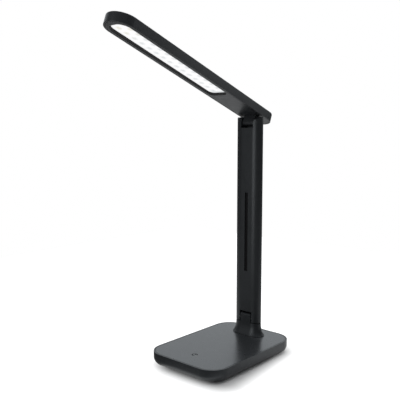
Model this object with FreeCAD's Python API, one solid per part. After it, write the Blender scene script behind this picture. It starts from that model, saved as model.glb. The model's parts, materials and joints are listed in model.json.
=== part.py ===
import FreeCAD
import Part
import math
import os

from FreeCAD import Vector

# Folding LED desk lamp. Millimetres, +Z up, the front is -Y and the lamp's right is +X.
# The origin is the middle of the underside, on the table.

# Fits and clearances
seam = 0.15            # all round an inset cover
slip = 0.02            # radial, a pin or screw in the hole that holds it
running = 0.05         # radial, a pin in the hole that turns on it
loose = 0.4            # radial, a screw or lead in a hole it only passes through
lift = 0.05            # between a lead and what it lies on

# Base housing
base_width = 110.0
base_depth = 159.0
base_height = 17.0     # table to the face of the top plate
base_corner = 24.0     # corner radius in plan
under_round = 7.0      # rounding between the side wall and the underside
base_wall = 2.4
base_floor = 2.2
rim_width = 1.2        # visible rim round the top plate
rim_chamfer = 0.5
plate_thickness = 2.2
plate_chamfer = 0.3
pad_thickness = 1.6
pad_stand = 1.0        # the pad stands this far below the housing
pad_inset = 9.0        # outline of the housing to the edge of the pad

# Touch switch and circuit boards
mark_from_front = 28.5  # front edge of the base to the centre of the power mark
mark_radius = 3.2
mark_stroke = 0.9
mark_depth = 0.25
mark_gap_angle = 70.0
board_room = 4.6       # top of both boards to the top plate
board_thickness = 1.6
board_gap = 3.7        # control board to the posts beside it
control_depth = 34.0
control_front = 9.5    # front edge of the base to the control board
touch_pad_side = 12.0
chip_side = 9.0
chip_gap = 5.5         # touch pad to the components beside it
chip_height = 1.2
post_radius = 2.6
post_inset = 5.0       # board edge to the centre of a post
socket_width = 9.0
socket_height = 3.3
socket_length = 7.4
socket_wall = 0.35
socket_sink = 0.5      # the socket's mouth behind the rear face
socket_gap = 0.2
socket_board_width = 22.0
socket_board_depth = 16.0
contact_width = 6.6
contact_thickness = 0.7
lead_radius = 1.2
lead_land = 2.0        # overlap of a lead and the board it ends on
lead_bend = 4.0

# Ballast
ballast_side = 11.0    # side of the base to the weight
ballast_gap = 7.0      # weight to the control board and to the plate under the pedestal
ballast_drop = 1.0     # top of the weight below the top of the boards
ballast_post_radius = 3.0
ballast_screw_inset = 8.0
ballast_screw_lap = 1.4  # head of a screw over the weight's edge

# Posts that hold the top plate down
lid_post_margin = 9.0  # edge of the pad to the middle of a post
lid_post_radius = 3.3
lid_post_height = 2.4

# Pedestal
arm_from_back = 24.9   # rear edge of the base to the middle of the arm
shoulder_height = 16.0  # top plate to the faces that the arm stands on
flare = 4.5            # spread of the foot beyond the arm's outline
flare_bend = 2.5       # 1 for a straight taper, more for a hollow one
flare_steps = 8
flare_lip = 0.8
flare_flat = 0.4
pedestal_wall = 2.6
pedestal_roof = 4.0    # solid thickness under the shoulders
pedestal_screw_spread = 22.0
pedestal_boss_radius = 3.4
stiffener_thickness = 2.0
stiffener_margin = 6.0

# Arm
arm_width = 38.3
arm_thickness = 14.0
arm_swell = 5.0        # how much longer the oval side is than half the thickness
arm_wall = 2.4
hinge_spacing = 253.1  # lower hinge axis to upper hinge axis
groove_width = 4.8
groove_length = 102.0
groove_depth = 1.2
groove_rise = 113.3    # lower hinge axis to the middle of the groove
cover_split = 9.0      # front face to the seam of the rear cover
cover_margin = 5.0     # end of the cavity to the end of the rear cover
cavity_margin = 9.0    # notch to the end of the arm's cavity
bar_thickness = 2.0
bar_end_gap = 6.0
arm_boss_radius = 2.8
arm_boss_count = 4
arm_boss_end = 16.0    # end of the cavity to the first boss

# Hinges
notch_width = 18.4     # between the ears of the arm, both ends
hinge_side_gap = 0.5   # knuckle or tongue to each ear
washer_thickness = 0.4
seat_gap = 0.3         # under the ears when the arm stands upright
axis_setback = 3.3     # lower axis behind the arm's front face
ear_drop = 6.0         # lower axis above the bottom of the ears
tongue_rise = 6.2      # lower axis to the top of the tongue
tongue_gap = 2.8       # top of the tongue to the arm above it
tongue_round = 2.5
lower_pin_radius = 1.6
upper_pin_radius = 2.0
pin_skin = 1.5         # least material beyond the end of a pin
knuckle_radius = 5.2
knuckle_gap = 0.6      # knuckle to the arm under it
lower_washer_inset = 0.3  # edge of a washer inside the arm's front face
upper_washer_inset = 0.6  # edge of a washer inside the knuckle
fold_gap = 1.2         # tip of the folded head to the pedestal
lead_side = 5.0        # leads run this far right of the middle
lead_behind = 2.0      # and this far behind the middle of the arm

# Head
head_width = 36.9
head_thickness = 10.6
head_overhang = 28.5   # upper hinge axis to the rear end
head_tilt = 20.2       # degrees above the horizontal as photographed
head_gap = 1.2         # underside of the head clear of the arm's round end
head_wall = 1.8
head_top_round = 0.8
head_edge = 0.4
bezel_thickness = 2.5  # the light panel lies this deep
bezel_round = 0.8
panel_width = 26.8
panel_setback = 68.7   # upper hinge axis to the rear end of the light panel
panel_corner = 6.5
panel_tip_margin = 7.2
diffuser_thickness = 1.5
diffuser_lap = 1.4
light_gap = 1.4        # diffuser to the face of the lamps
led_height = 0.8
led_length = 3.5
led_width = 2.8
led_row_spacing = 11.0
led_pitch = 11.0
led_end_gap = 8.0
led_board_thickness = 1.0
led_board_inset = 1.6
led_boss_radius = 2.2
led_boss_count = 3
flange_length = 30.0
flange_width = 28.0
flange_thickness = 2.0
flange_screw_inset = 4.0
flange_boss_radius = 3.0
clip_count = 5
clip_length = 8.0
clip_thickness = 1.1
clip_height = 3.4
clip_barb = 0.6

# Screws
small_screw_radius = 0.9
small_head_radius = 1.8
small_head_height = 0.9
small_screw_grip = 2.4
screw_radius = 1.3
head_radius = 2.5
head_height = 1.5
screw_grip = 6.0
socket_depth_share = 0.6
top_skin = 0.5         # least material over a blind screw hole

# Levels and places that follow from the sizes above
floor_top = pad_stand + base_floor
plate_bottom = base_height - plate_thickness
board_top = plate_bottom - board_room
board_level = board_top - floor_top
shoulder = base_height + shoulder_height
arm_behind = base_depth / 2 - arm_from_back
arm_flat = arm_width / 2 - arm_thickness / 2 - arm_swell
arm_front = arm_behind - arm_thickness / 2
arm_back = arm_behind + arm_thickness / 2
lower_y = arm_front + axis_setback
lower_z = shoulder + ear_drop
upper_y = arm_behind
upper_z = lower_z + hinge_spacing
notch_ceiling = lower_z + tongue_rise + tongue_gap
notch_floor = upper_z - knuckle_radius - knuckle_gap
cavity_low = notch_ceiling + cavity_margin
cavity_high = notch_floor - cavity_margin
cover_low = cavity_low - cover_margin
cover_high = cavity_high + cover_margin
split_y = arm_front + cover_split
knuckle_half = notch_width / 2 - hinge_side_gap
lower_washer_radius = axis_setback - lower_washer_inset
upper_washer_radius = knuckle_radius - upper_washer_inset
lead_y = arm_behind + lead_behind
underside = upper_z + arm_thickness / 2 + head_gap
head_top = underside + head_thickness
head_reach = hinge_spacing - axis_setback - fold_gap
head_tip = upper_y - head_reach
head_rear = upper_y + head_overhang
head_ceiling = head_top - head_wall
bezel_top = underside + bezel_thickness
diffuser_top = bezel_top + diffuser_thickness
led_face = diffuser_top + light_gap
led_board_bottom = led_face + led_height
led_board_top = led_board_bottom + led_board_thickness
panel_front = head_tip + panel_tip_margin
panel_rear = upper_y - panel_setback
panel_length = panel_rear - panel_front
panel_middle = (panel_front + panel_rear) / 2
mark_y = mark_from_front - base_depth / 2
lid_inset = pad_inset + lid_post_margin
lid_x = base_width / 2 - lid_inset
control_width = 2 * (lid_x - lid_post_radius - board_gap)
control_y = control_front - base_depth / 2
ballast_front = control_y + control_depth + ballast_gap
ballast_back = arm_front - stiffener_margin - ballast_gap
ballast_thickness = board_level - ballast_drop
ballast_middle = (ballast_front + ballast_back) / 2
ballast_depth = ballast_back - ballast_front
ballast_width = base_width - 2 * ballast_side

X = Vector(1, 0, 0)
Y = Vector(0, 1, 0)
Z = Vector(0, 0, 1)


# Shape helpers

def block(x_low, x_high, y_low, y_high, z_low, z_high):
    """A box between two limits on each axis."""
    corner = Vector(x_low, y_low, z_low)
    return Part.makeBox(x_high - x_low, y_high - y_low, z_high - z_low, corner)


def rod(radius, start, direction, length):
    """A round bar from a point along a direction."""
    return Part.makeCylinder(radius, length, start, direction)


def edges_at(shape, level):
    """The edges that lie wholly at one height."""
    def flat(edge):
        box = edge.BoundBox
        return abs(box.ZMin - level) < 1e-4 and abs(box.ZMax - level) < 1e-4
    return [edge for edge in shape.Edges if flat(edge)]


def rounded_plate(width, depth, corner, bottom, top, middle=0.0):
    """A plate with rounded corners in plan, centred on X and on the given Y."""
    solid = block(-width / 2, width / 2, middle - depth / 2, middle + depth / 2, bottom, top)
    upright = [edge for edge in solid.Edges if edge.BoundBox.ZLength > (top - bottom) / 2]
    return solid.makeFillet(corner, upright)


def base_plate(inset, bottom, top):
    """The base's outline, drawn in by an inset, as a plate."""
    width = base_width - 2 * inset
    depth = base_depth - 2 * inset
    return rounded_plate(width, depth, base_corner - inset, bottom, top)


def stadium(width, front, back, bottom, top):
    """A bar with full round ends, from front to back along Y."""
    radius = width / 2
    near_right = Vector(radius, front + radius, bottom)
    far_right = Vector(radius, back - radius, bottom)
    far_left = Vector(-radius, back - radius, bottom)
    near_left = Vector(-radius, front + radius, bottom)
    edges = [
        Part.makeLine(near_right, far_right),
        Part.Arc(far_right, Vector(0, back, bottom), far_left).toShape(),
        Part.makeLine(far_left, near_left),
        Part.Arc(near_left, Vector(0, front, bottom), near_right).toShape(),
    ]
    return Part.Face(Part.Wire(edges)).extrude(Vector(0, 0, top - bottom))


def arm_outline(growth, bottom):
    """The arm's outline, grown or drawn in: flat front and back, oval sides."""
    half_depth = arm_thickness / 2 + growth
    oval = half_depth + arm_swell
    flat = arm_flat
    front = arm_behind - half_depth
    back = arm_behind + half_depth
    right = Part.Ellipse(Vector(flat, arm_behind, bottom), oval, half_depth)
    left = Part.Ellipse(Vector(-flat, arm_behind, bottom), oval, half_depth)
    edges = [
        Part.makeLine(Vector(-flat, front, bottom), Vector(flat, front, bottom)),
        Part.ArcOfEllipse(right, -math.pi / 2, math.pi / 2).toShape(),
        Part.makeLine(Vector(flat, back, bottom), Vector(-flat, back, bottom)),
        Part.ArcOfEllipse(left, math.pi / 2, 3 * math.pi / 2).toShape(),
    ]
    return Part.Wire(edges)


def arm_bar(growth, bottom, top):
    """An upright bar with the arm's outline, grown or drawn in."""
    return Part.Face(arm_outline(growth, bottom)).extrude(Vector(0, 0, top - bottom))


def side_at(offset):
    """Half the arm's width at a distance from its middle plane."""
    half_depth = arm_thickness / 2
    return arm_flat + (half_depth + arm_swell) * math.sqrt(1 - (offset / half_depth) ** 2)


def screw(seat, direction, radius, grip, cap_radius, cap_height):
    """A socket-head screw: its head bears at the seat and its shank runs along the direction."""
    back = seat - direction * cap_height
    head = rod(cap_radius, back, direction, cap_height)
    shank = rod(radius, seat, direction, grip)
    socket = rod(cap_radius / 2, back, direction, cap_height * socket_depth_share)
    return head.fuse(shank).cut(socket).removeSplitter()


def plain_screw(seat, direction, grip=screw_grip):
    """The common screw."""
    return screw(seat, direction, screw_radius, grip, head_radius, head_height)


def small_screw(seat, direction, grip=small_screw_grip):
    """The small board screw."""
    return screw(seat, direction, small_screw_radius, grip, small_head_radius, small_head_height)


def ring(outer, inner, start_x, thickness, y, z):
    """A flat washer square to X."""
    at = Vector(start_x, y, z)
    return rod(outer, at, X, thickness).cut(rod(inner, at, X, thickness))


def group(shapes):
    """Several separate solids as one piece group."""
    return Part.makeCompound(shapes)


def tilted(shape):
    """A head piece, modelled level, turned to its resting tilt about the upper hinge axis."""
    turned = shape.copy()
    turned.rotate(Vector(0, upper_y, upper_z), X, -head_tilt)
    return turned


# Places of repeated features

def board_posts(width, front, depth):
    """Centres of the four posts under a board."""
    half = width / 2 - post_inset
    rows = (front + post_inset, front + depth - post_inset)
    return [(side * half, row) for side in (-1, 1) for row in rows]


control_posts = board_posts(control_width, control_y, control_depth)
socket_back = base_depth / 2 - socket_sink
socket_board_back = base_depth / 2 - base_wall - seam
socket_board_front = socket_board_back - socket_board_depth
socket_posts = [
    (side * (socket_board_width / 2 - post_inset), socket_board_front + post_inset) for side in (-1, 1)
]
ballast_posts = [
    (x * (ballast_width / 2 - ballast_screw_inset),
     ballast_middle + y * (ballast_depth / 2 - ballast_screw_inset))
    for x in (-1, 1) for y in (-1, 1)
]
lid_posts = [(x * lid_x, y * (base_depth / 2 - lid_inset)) for x in (-1, 1) for y in (-1, 1)]
pedestal_holes = [(side * pedestal_screw_spread / 2, arm_behind) for side in (-1, 1)]


# Base

def base_tub():
    """The lower housing: floor, walls, posts, a seat for the top plate and a hole for the socket."""
    shell = base_plate(0, pad_stand, base_height)
    shell = shell.makeFillet(under_round, edges_at(shell, pad_stand))
    shell = shell.makeChamfer(rim_chamfer, edges_at(shell, base_height))
    hollow = base_plate(base_wall, floor_top, base_height)
    hollow = hollow.makeFillet(under_round - base_floor, edges_at(hollow, floor_top))
    shell = shell.cut(hollow).cut(base_plate(rim_width, plate_bottom, base_height))
    shell = shell.cut(base_plate(pad_inset - seam, pad_stand, pad_thickness))
    for x, y in control_posts + socket_posts:
        shell = shell.fuse(rod(post_radius, Vector(x, y, floor_top), Z, board_level - board_thickness))
        hole_foot = Vector(x, y, board_top - board_thickness - small_screw_grip)
        shell = shell.cut(rod(small_screw_radius + slip, hole_foot, Z, small_screw_grip))
    for x, y in ballast_posts:
        shell = shell.fuse(rod(ballast_post_radius, Vector(x, y, floor_top), Z, ballast_thickness))
        shell = shell.cut(rod(screw_radius + slip, Vector(x, y, floor_top), Z, ballast_thickness))
    for x, y in lid_posts:
        shell = shell.fuse(rod(lid_post_radius, Vector(x, y, floor_top), Z, lid_post_height))
        foot = Vector(x, y, pad_stand)
        shell = shell.cut(rod(screw_radius + loose, foot, Z, base_height))
        shell = shell.cut(rod(head_radius + loose, foot, Z, pad_thickness + head_height + lift - pad_stand))
    mouth = rounded_plate(socket_width + 2 * socket_gap, socket_height + 2 * socket_gap,
                          socket_height / 2, 0, base_wall + socket_length)
    mouth.rotate(Vector(0, 0, 0), X, -90)
    mouth.translate(Vector(0, base_depth / 2 - base_wall - seam, board_top + socket_height / 2))
    return shell.cut(mouth).removeSplitter()


def base_top_plate():
    """The inset top plate with screw bosses, the mark's pocket and the holes under the pedestal."""
    plate = base_plate(rim_width + seam, plate_bottom, base_height)
    plate = plate.makeChamfer(plate_chamfer, edges_at(plate, base_height))
    for x, y in lid_posts:
        boss_foot = floor_top + lid_post_height
        plate = plate.fuse(rod(lid_post_radius, Vector(x, y, boss_foot), Z, plate_bottom - boss_foot))
        plate = plate.cut(rod(screw_radius + slip, Vector(x, y, boss_foot), Z, screw_grip))
    for x, y in pedestal_holes:
        plate = plate.cut(rod(screw_radius + loose, Vector(x, y, plate_bottom), Z, plate_thickness))
    plate = plate.cut(rod(lead_radius + loose, Vector(lead_side, lead_y, plate_bottom), Z, plate_thickness))
    return plate.cut(touch_mark()).removeSplitter()


def touch_mark():
    """The inlaid power mark: an open ring and a short bar."""
    centre = Vector(0, mark_y, base_height - mark_depth)
    outer = mark_radius + mark_stroke / 2
    inner = mark_radius - mark_stroke / 2
    open_ring = rod(outer, centre, Z, mark_depth).cut(rod(inner, centre, Z, mark_depth))
    reach = 2 * outer
    spread = reach * math.tan(math.radians(mark_gap_angle / 2))
    corners = [centre, centre + Vector(-spread, reach, 0), centre + Vector(spread, reach, 0), centre]
    wedge = Part.Face(Part.makePolygon(corners)).extrude(Vector(0, 0, mark_depth))
    bar = block(-mark_stroke / 2, mark_stroke / 2, centre.y, centre.y + outer, centre.z, base_height)
    return group([open_ring.cut(wedge), bar])


def base_pad():
    """The non-slip pad let into the underside."""
    return base_plate(pad_inset, 0, pad_thickness)


def ballast_plate():
    """The steel weight on the floor of the housing."""
    plate = rounded_plate(ballast_width, ballast_depth, ballast_screw_inset / 2,
                          floor_top, floor_top + ballast_thickness, ballast_middle)
    for x, y in ballast_posts:
        plate = plate.cut(rod(ballast_post_radius + seam, Vector(x, y, floor_top), Z, ballast_thickness))
    return plate


def ballast_screws():
    """Screws whose wide heads hold the weight down."""
    seat = floor_top + ballast_thickness
    wide_radius = ballast_post_radius + seam + ballast_screw_lap
    shapes = []
    for x, y in ballast_posts:
        grip = ballast_thickness - lift
        shapes.append(screw(Vector(x, y, seat), -Z, screw_radius, grip, wide_radius, head_height))
    return group(shapes)


def control_board():
    """The driver and touch board with its larger components."""
    board = block(-control_width / 2, control_width / 2, control_y, control_y + control_depth,
                  board_top - board_thickness, board_top)
    for x, y in control_posts:
        board = board.cut(rod(small_screw_radius + loose, Vector(x, y, board_top - board_thickness), Z,
                              board_thickness))
    middle = control_y + control_depth / 2
    for side in (-1, 1):
        chip_x = side * (touch_pad_side / 2 + chip_gap + chip_side / 2)
        chip = block(chip_x - chip_side / 2, chip_x + chip_side / 2, middle - chip_side / 2,
                     middle + chip_side / 2, board_top, board_top + chip_height)
        board = board.fuse(chip)
    return board.removeSplitter()


def board_screws(posts):
    """The screws that hold a board on its posts."""
    return group([small_screw(Vector(x, y, board_top), -Z, board_thickness + small_screw_grip / 2)
                  for x, y in posts])


def touch_pad():
    """The conductive pad between the control board and the mark."""
    half = touch_pad_side / 2
    return block(-half, half, mark_y - half, mark_y + half, board_top, plate_bottom)


def socket_board():
    """The small board that carries the power socket."""
    half = socket_board_width / 2
    board = block(-half, half, socket_board_front, socket_board_back,
                  board_top - board_thickness, board_top)
    for x, y in socket_posts:
        board = board.cut(rod(small_screw_radius + loose, Vector(x, y, board_top - board_thickness), Z,
                              board_thickness))
    return board


def power_socket():
    """The power inlet: a flat round-cornered shell with a contact tongue."""
    shell = rounded_plate(socket_width, socket_height, socket_height / 2 - seam, 0, socket_length)
    inner = rounded_plate(socket_width - 2 * socket_wall, socket_height - 2 * socket_wall,
                          socket_height / 2 - seam - socket_wall, 2 * socket_wall, socket_length)
    contact = block(-contact_width / 2, contact_width / 2, -contact_thickness / 2, contact_thickness / 2,
                    socket_wall, socket_length - 2 * socket_wall)
    socket = shell.cut(inner).fuse(contact).removeSplitter()
    socket.rotate(Vector(0, 0, 0), X, -90)
    socket.translate(Vector(0, socket_back - socket_length, board_top + socket_height / 2))
    return socket


def supply_lead():
    """The lead from the socket board to the control board."""
    level = board_top + lead_radius + lift
    start = control_y + control_depth - lead_land
    return rod(lead_radius, Vector(-lead_side, start, level), Y, socket_board_front + lead_land - start)


def lamp_lead():
    """The lead from the control board along the base and up through the pedestal."""
    level = board_top + lead_radius + lift
    start = Vector(lead_side, control_y + control_depth - lead_land, level)
    bend_start = Vector(lead_side, lead_y - lead_bend, level)
    bend_end = Vector(lead_side, lead_y, level + lead_bend)
    top = Vector(lead_side, lead_y, lower_z + tongue_rise - loose)
    dip = lead_bend * math.sin(math.radians(45))
    bend_middle = Vector(lead_side, lead_y - lead_bend + dip, level + lead_bend - dip)
    path = Part.Wire([
        Part.makeLine(start, bend_start),
        Part.Arc(bend_start, bend_middle, bend_end).toShape(),
        Part.makeLine(bend_end, top),
    ])
    section = Part.Wire([Part.makeCircle(lead_radius, start, Y)])
    return path.makePipeShell([section], True, False)


def lid_screws():
    """Screws from below, under the pad, into the top plate's bosses."""
    seat = pad_thickness + head_height + lift
    grip = floor_top + lid_post_height + screw_grip - seat - lift
    return group([plain_screw(Vector(x, y, seat), Z, grip) for x, y in lid_posts])


# Pedestal

def pedestal():
    """The flared foot with two shoulders and the tongue of the lower hinge."""
    lip_top = base_height + flare_lip
    outlines = []
    for step in range(flare_steps + 1):
        share = step / flare_steps
        growth = (flare - flare_flat) * (1 - share) ** flare_bend
        outlines.append(arm_outline(growth, lip_top + share * (shoulder - lip_top)))
    body = arm_bar(flare, base_height, lip_top).fuse(Part.makeLoft(outlines, True, False))
    tongue = block(-knuckle_half, knuckle_half, arm_front, arm_back, shoulder - seam, lower_z + tongue_rise)
    crown = [edge for edge in edges_at(tongue, lower_z + tongue_rise)
             if edge.BoundBox.XLength > knuckle_half]
    tongue = tongue.makeFillet(tongue_round, crown)
    body = body.fuse(tongue)
    body = body.cut(arm_bar(-pedestal_wall, base_height, shoulder - pedestal_roof))
    for x, y in pedestal_holes:
        boss_height = shoulder - pedestal_roof - base_height
        boss = rod(pedestal_boss_radius, Vector(x, y, base_height), Z, boss_height)
        body = body.fuse(boss)
        body = body.cut(rod(screw_radius + slip, Vector(x, y, base_height), Z, screw_grip))
    lead_way = rod(lead_radius + loose, Vector(lead_side, lead_y, base_height), Z, 2 * shoulder_height)
    body = body.cut(lead_way)
    pin_hole = rod(lower_pin_radius + running, Vector(-arm_width, lower_y, lower_z), X, 2 * arm_width)
    return body.cut(pin_hole).removeSplitter()


def pedestal_stiffener():
    """The steel plate under the top plate that spreads the pedestal's load."""
    half = arm_width / 2 + stiffener_margin
    plate = block(-half, half, arm_front - stiffener_margin, arm_back + stiffener_margin,
                  plate_bottom - stiffener_thickness, plate_bottom)
    below = plate_bottom - stiffener_thickness
    for x, y in pedestal_holes:
        plate = plate.cut(rod(screw_radius + loose, Vector(x, y, below), Z, stiffener_thickness))
    slot = lead_radius + loose
    lead_slot = block(lead_side - slot, lead_side + slot, lead_y - lead_bend - slot, lead_y + slot,
                      below, plate_bottom)
    return plate.cut(lead_slot)


def pedestal_screws():
    """Screws from inside the base up into the pedestal."""
    seat = plate_bottom - stiffener_thickness
    grip = stiffener_thickness + plate_thickness + screw_grip - lift
    return group([plain_screw(Vector(x, y, seat), Z, grip) for x, y in pedestal_holes])


# Arm

def arm_blank():
    """The arm's outer form: an oval bar with a round top and relieved front corners below."""
    bottom = shoulder + seat_gap
    bar = arm_bar(0, bottom, upper_z + arm_thickness / 2)
    round_end = rod(arm_thickness / 2, Vector(-arm_width, upper_y, upper_z), X, 2 * arm_width)
    straight = block(-arm_width, arm_width, arm_front, arm_back, bottom, upper_z)
    bar = bar.common(straight.fuse(round_end))
    relief = block(-arm_width, arm_width, arm_front, lower_y, bottom, lower_z)
    relief = relief.cut(rod(ear_drop - seat_gap, Vector(-arm_width, lower_y, lower_z), X, 2 * arm_width))
    return bar.cut(relief).removeSplitter()


def arm_cavity():
    """The hollow inside the arm."""
    return arm_bar(-arm_wall, cavity_low, cavity_high)


def rear_cover_blank(gap):
    """The rear part of the arm that comes away as a cover."""
    behind = block(-arm_width, arm_width, split_y + gap, arm_back + arm_wall,
                   cover_low + gap, cover_high - gap)
    return arm_bar(0, cover_low, cover_high).common(behind)


def arm_bosses():
    """Centres of the bosses for the rear cover's screws."""
    first = cavity_low + arm_boss_end
    pitch = (cavity_high - arm_boss_end - first) / (arm_boss_count - 1)
    return [(0, first + pitch * number) for number in range(arm_boss_count)]


def lead_hole():
    """The way for the lead along the arm, from notch to notch."""
    start = Vector(lead_side, lead_y, notch_ceiling)
    return rod(lead_radius + loose, start, Z, notch_floor - notch_ceiling)


def arm_housing():
    """The front and sides of the arm with the ears of both hinges."""
    body = arm_blank().cut(arm_cavity()).cut(rear_cover_blank(0))
    half = notch_width / 2
    body = body.cut(block(-half, half, arm_front, arm_back, shoulder, notch_ceiling))
    body = body.cut(block(-half, half, arm_front, arm_back, notch_floor, upper_z + arm_thickness))
    groove_low = lower_z + groove_rise - groove_length / 2
    groove = block(-groove_width / 2, groove_width / 2, arm_front, arm_front + groove_depth,
                   groove_low, groove_low + groove_length)
    body = body.cut(groove)
    inner_face = arm_front + arm_wall
    for x, z in arm_bosses():
        at = Vector(x, inner_face, z)
        body = body.fuse(rod(arm_boss_radius, at, Y, split_y - inner_face))
        body = body.cut(rod(screw_radius + slip, at, Y, split_y - inner_face))
    body = body.cut(lead_hole())
    body = body.cut(pin_bore(lower_y, lower_z, lower_pin_radius))
    body = body.cut(pin_bore(upper_y, upper_z, upper_pin_radius))
    return body.removeSplitter()


def pin_half(y, radius):
    """Half a hinge pin's length: it stops short of the ears' oval sides."""
    return side_at(abs(arm_behind - y) + radius) - pin_skin


def pin_bore(y, z, radius):
    """The hole for a pin: open through the left ear and blind in the right one."""
    return rod(radius + slip, Vector(-arm_width, y, z), X, arm_width + pin_half(y, radius) + lift)


def arm_rear_cover():
    """The back of the arm, screwed on over the cavity."""
    cover = rear_cover_blank(seam).cut(arm_cavity()).cut(lead_hole())
    inner_face = arm_back - arm_wall
    for x, z in arm_bosses():
        at = Vector(x, split_y + seam, z)
        cover = cover.fuse(rod(arm_boss_radius, at, Y, inner_face - split_y))
        cover = cover.cut(rod(screw_radius + loose, at, Y, arm_thickness))
        seat = Vector(x, arm_back - head_height - lift, z)
        cover = cover.cut(rod(head_radius + loose, seat, Y, arm_thickness))
    return cover.removeSplitter()


def arm_cover_screws():
    """Screws through the rear cover into the housing's bosses."""
    seat = arm_back - head_height - lift
    grip = seat - arm_front - arm_wall - lift
    return group([plain_screw(Vector(x, seat, z), -Y, grip) for x, z in arm_bosses()])


def arm_bar_stiffener():
    """The steel bar that lies behind the arm's front wall."""
    inner_face = arm_front + arm_wall
    half = arm_flat - seam
    bar = block(-half, half, inner_face, inner_face + bar_thickness,
                cavity_low + bar_end_gap, cavity_high - bar_end_gap)
    for x, z in arm_bosses():
        bar = bar.cut(rod(arm_boss_radius + seam, Vector(x, inner_face, z), Y, bar_thickness))
    return bar


def arm_lead():
    """The lead inside the arm, from one hinge to the other."""
    start = notch_ceiling + loose
    return rod(lead_radius, Vector(lead_side, lead_y, start), Z, notch_floor - loose - start)


def hinge_pin(y, z, radius):
    """A plain pin held in the arm's ears."""
    half = pin_half(y, radius)
    return rod(radius, Vector(-half, y, z), X, 2 * half)


def hinge_cap(y, z, radius):
    """The flush plug over the pin's left end."""
    plug = rod(radius, Vector(-arm_width, y, z), X, arm_width - pin_half(y, radius) - lift)
    return plug.common(arm_blank())


def hinge_washers(y, z, radius, outer):
    """The two friction washers beside a knuckle."""
    side = (hinge_side_gap - washer_thickness) / 2
    inner = radius + running
    right = ring(outer, inner, knuckle_half + side, washer_thickness, y, z)
    left = ring(outer, inner, -knuckle_half - side - washer_thickness, washer_thickness, y, z)
    return group([right, left])


# Head, modelled level and then tilted

def clip_centres():
    """Places of the bezel's clips along the head."""
    first = head_tip + head_width / 2 + clip_length
    pitch = (panel_rear - first) / (clip_count - 1)
    return [first + pitch * number for number in range(clip_count)]


def clip_blocks(gap):
    """The clips' barbs, grown by a gap where they make pockets in the shell."""
    wall_face = head_width / 2 - head_wall
    top = bezel_top + clip_height
    blocks = []
    for y in clip_centres():
        for side in (-1, 1):
            root = side * (wall_face - seam - clip_thickness)
            point = side * (wall_face + clip_barb + gap)
            ends = sorted((root, point))
            blocks.append(block(ends[0], ends[1], y - clip_length / 2 - gap, y + clip_length / 2 + gap,
                                top - clip_thickness - gap, top + gap))
    return blocks


def flange_screw_places():
    """Centres of the screws in the knuckle's flange."""
    half_x = flange_width / 2 - flange_screw_inset
    half_y = flange_length / 2 - flange_screw_inset
    return [(x * half_x, upper_y + y * half_y) for x in (-1, 1) for y in (-1, 1)]


def led_boss_places():
    """Centres of the bosses that the lamp board is screwed to, between the two rows of lamps."""
    span = panel_length - 2 * led_end_gap
    pitch = span / (led_boss_count - 1)
    return [(0, panel_front + led_end_gap + pitch * number) for number in range(led_boss_count)]


def head_shell():
    """The head's top and sides."""
    shell = stadium(head_width, head_tip, head_rear, underside, head_top)
    shell = shell.makeFillet(head_top_round, edges_at(shell, head_top))
    shell = shell.makeChamfer(head_edge, edges_at(shell, underside))
    inner = stadium(head_width - 2 * head_wall, head_tip + head_wall, head_rear - head_wall,
                    underside, head_ceiling)
    shell = shell.cut(inner)
    flange_top = bezel_top + seam + flange_thickness
    for x, y in flange_screw_places():
        foot = Vector(x, y, flange_top)
        shell = shell.fuse(rod(flange_boss_radius, foot, Z, head_ceiling - flange_top))
        hole = rod(small_screw_radius + slip, foot, Z, head_top - top_skin - flange_top)
        shell = shell.cut(hole)
    for x, y in led_boss_places():
        foot = Vector(x, y, led_board_top)
        shell = shell.fuse(rod(led_boss_radius, foot, Z, head_ceiling - led_board_top))
        hole = rod(small_screw_radius + slip, foot, Z, head_top - top_skin - led_board_top)
        shell = shell.cut(hole)
    for barb in clip_blocks(seam):
        shell = shell.cut(barb)
    return shell.removeSplitter()


def head_bezel():
    """The underside cover with the opening for the light and the slot for the knuckle."""
    inset = head_wall + seam
    plate = stadium(head_width - 2 * inset, head_tip + inset, head_rear - inset, underside, bezel_top)
    opening = rounded_plate(panel_width, panel_length, panel_corner, underside, bezel_top, panel_middle)
    plate = plate.cut(opening)
    rim = [edge for edge in edges_at(plate, underside)
           if edge.BoundBox.YMin > panel_front - seam and edge.BoundBox.XLength < panel_width + seam
           and edge.BoundBox.YMax < panel_rear + seam]
    plate = plate.makeFillet(bezel_round, rim)
    slot_x = knuckle_half + seam
    slot_y = knuckle_radius + seam
    plate = plate.cut(block(-slot_x, slot_x, upper_y - slot_y, upper_y + slot_y, underside, bezel_top))
    arm_face = head_width / 2 - head_wall - seam
    for y in clip_centres():
        for side in (-1, 1):
            ends = sorted((side * arm_face, side * (arm_face - clip_thickness)))
            plate = plate.fuse(block(ends[0], ends[1], y - clip_length / 2, y + clip_length / 2,
                                     bezel_top, bezel_top + clip_height))
    for barb in clip_blocks(0):
        plate = plate.fuse(barb)
    return plate.removeSplitter()


def diffuser():
    """The frosted light panel on the bezel's inner face."""
    return rounded_plate(panel_width + 2 * diffuser_lap, panel_length + 2 * diffuser_lap,
                         panel_corner + diffuser_lap, bezel_top, diffuser_top, panel_middle)


def led_board():
    """The aluminium board that carries the lamps."""
    board = rounded_plate(panel_width - 2 * led_board_inset, panel_length - 2 * led_board_inset,
                          panel_corner - led_board_inset, led_board_bottom, led_board_top, panel_middle)
    for x, y in led_boss_places():
        board = board.cut(rod(small_screw_radius + loose, Vector(x, y, led_board_bottom), Z,
                              led_board_thickness))
    return board


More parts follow.
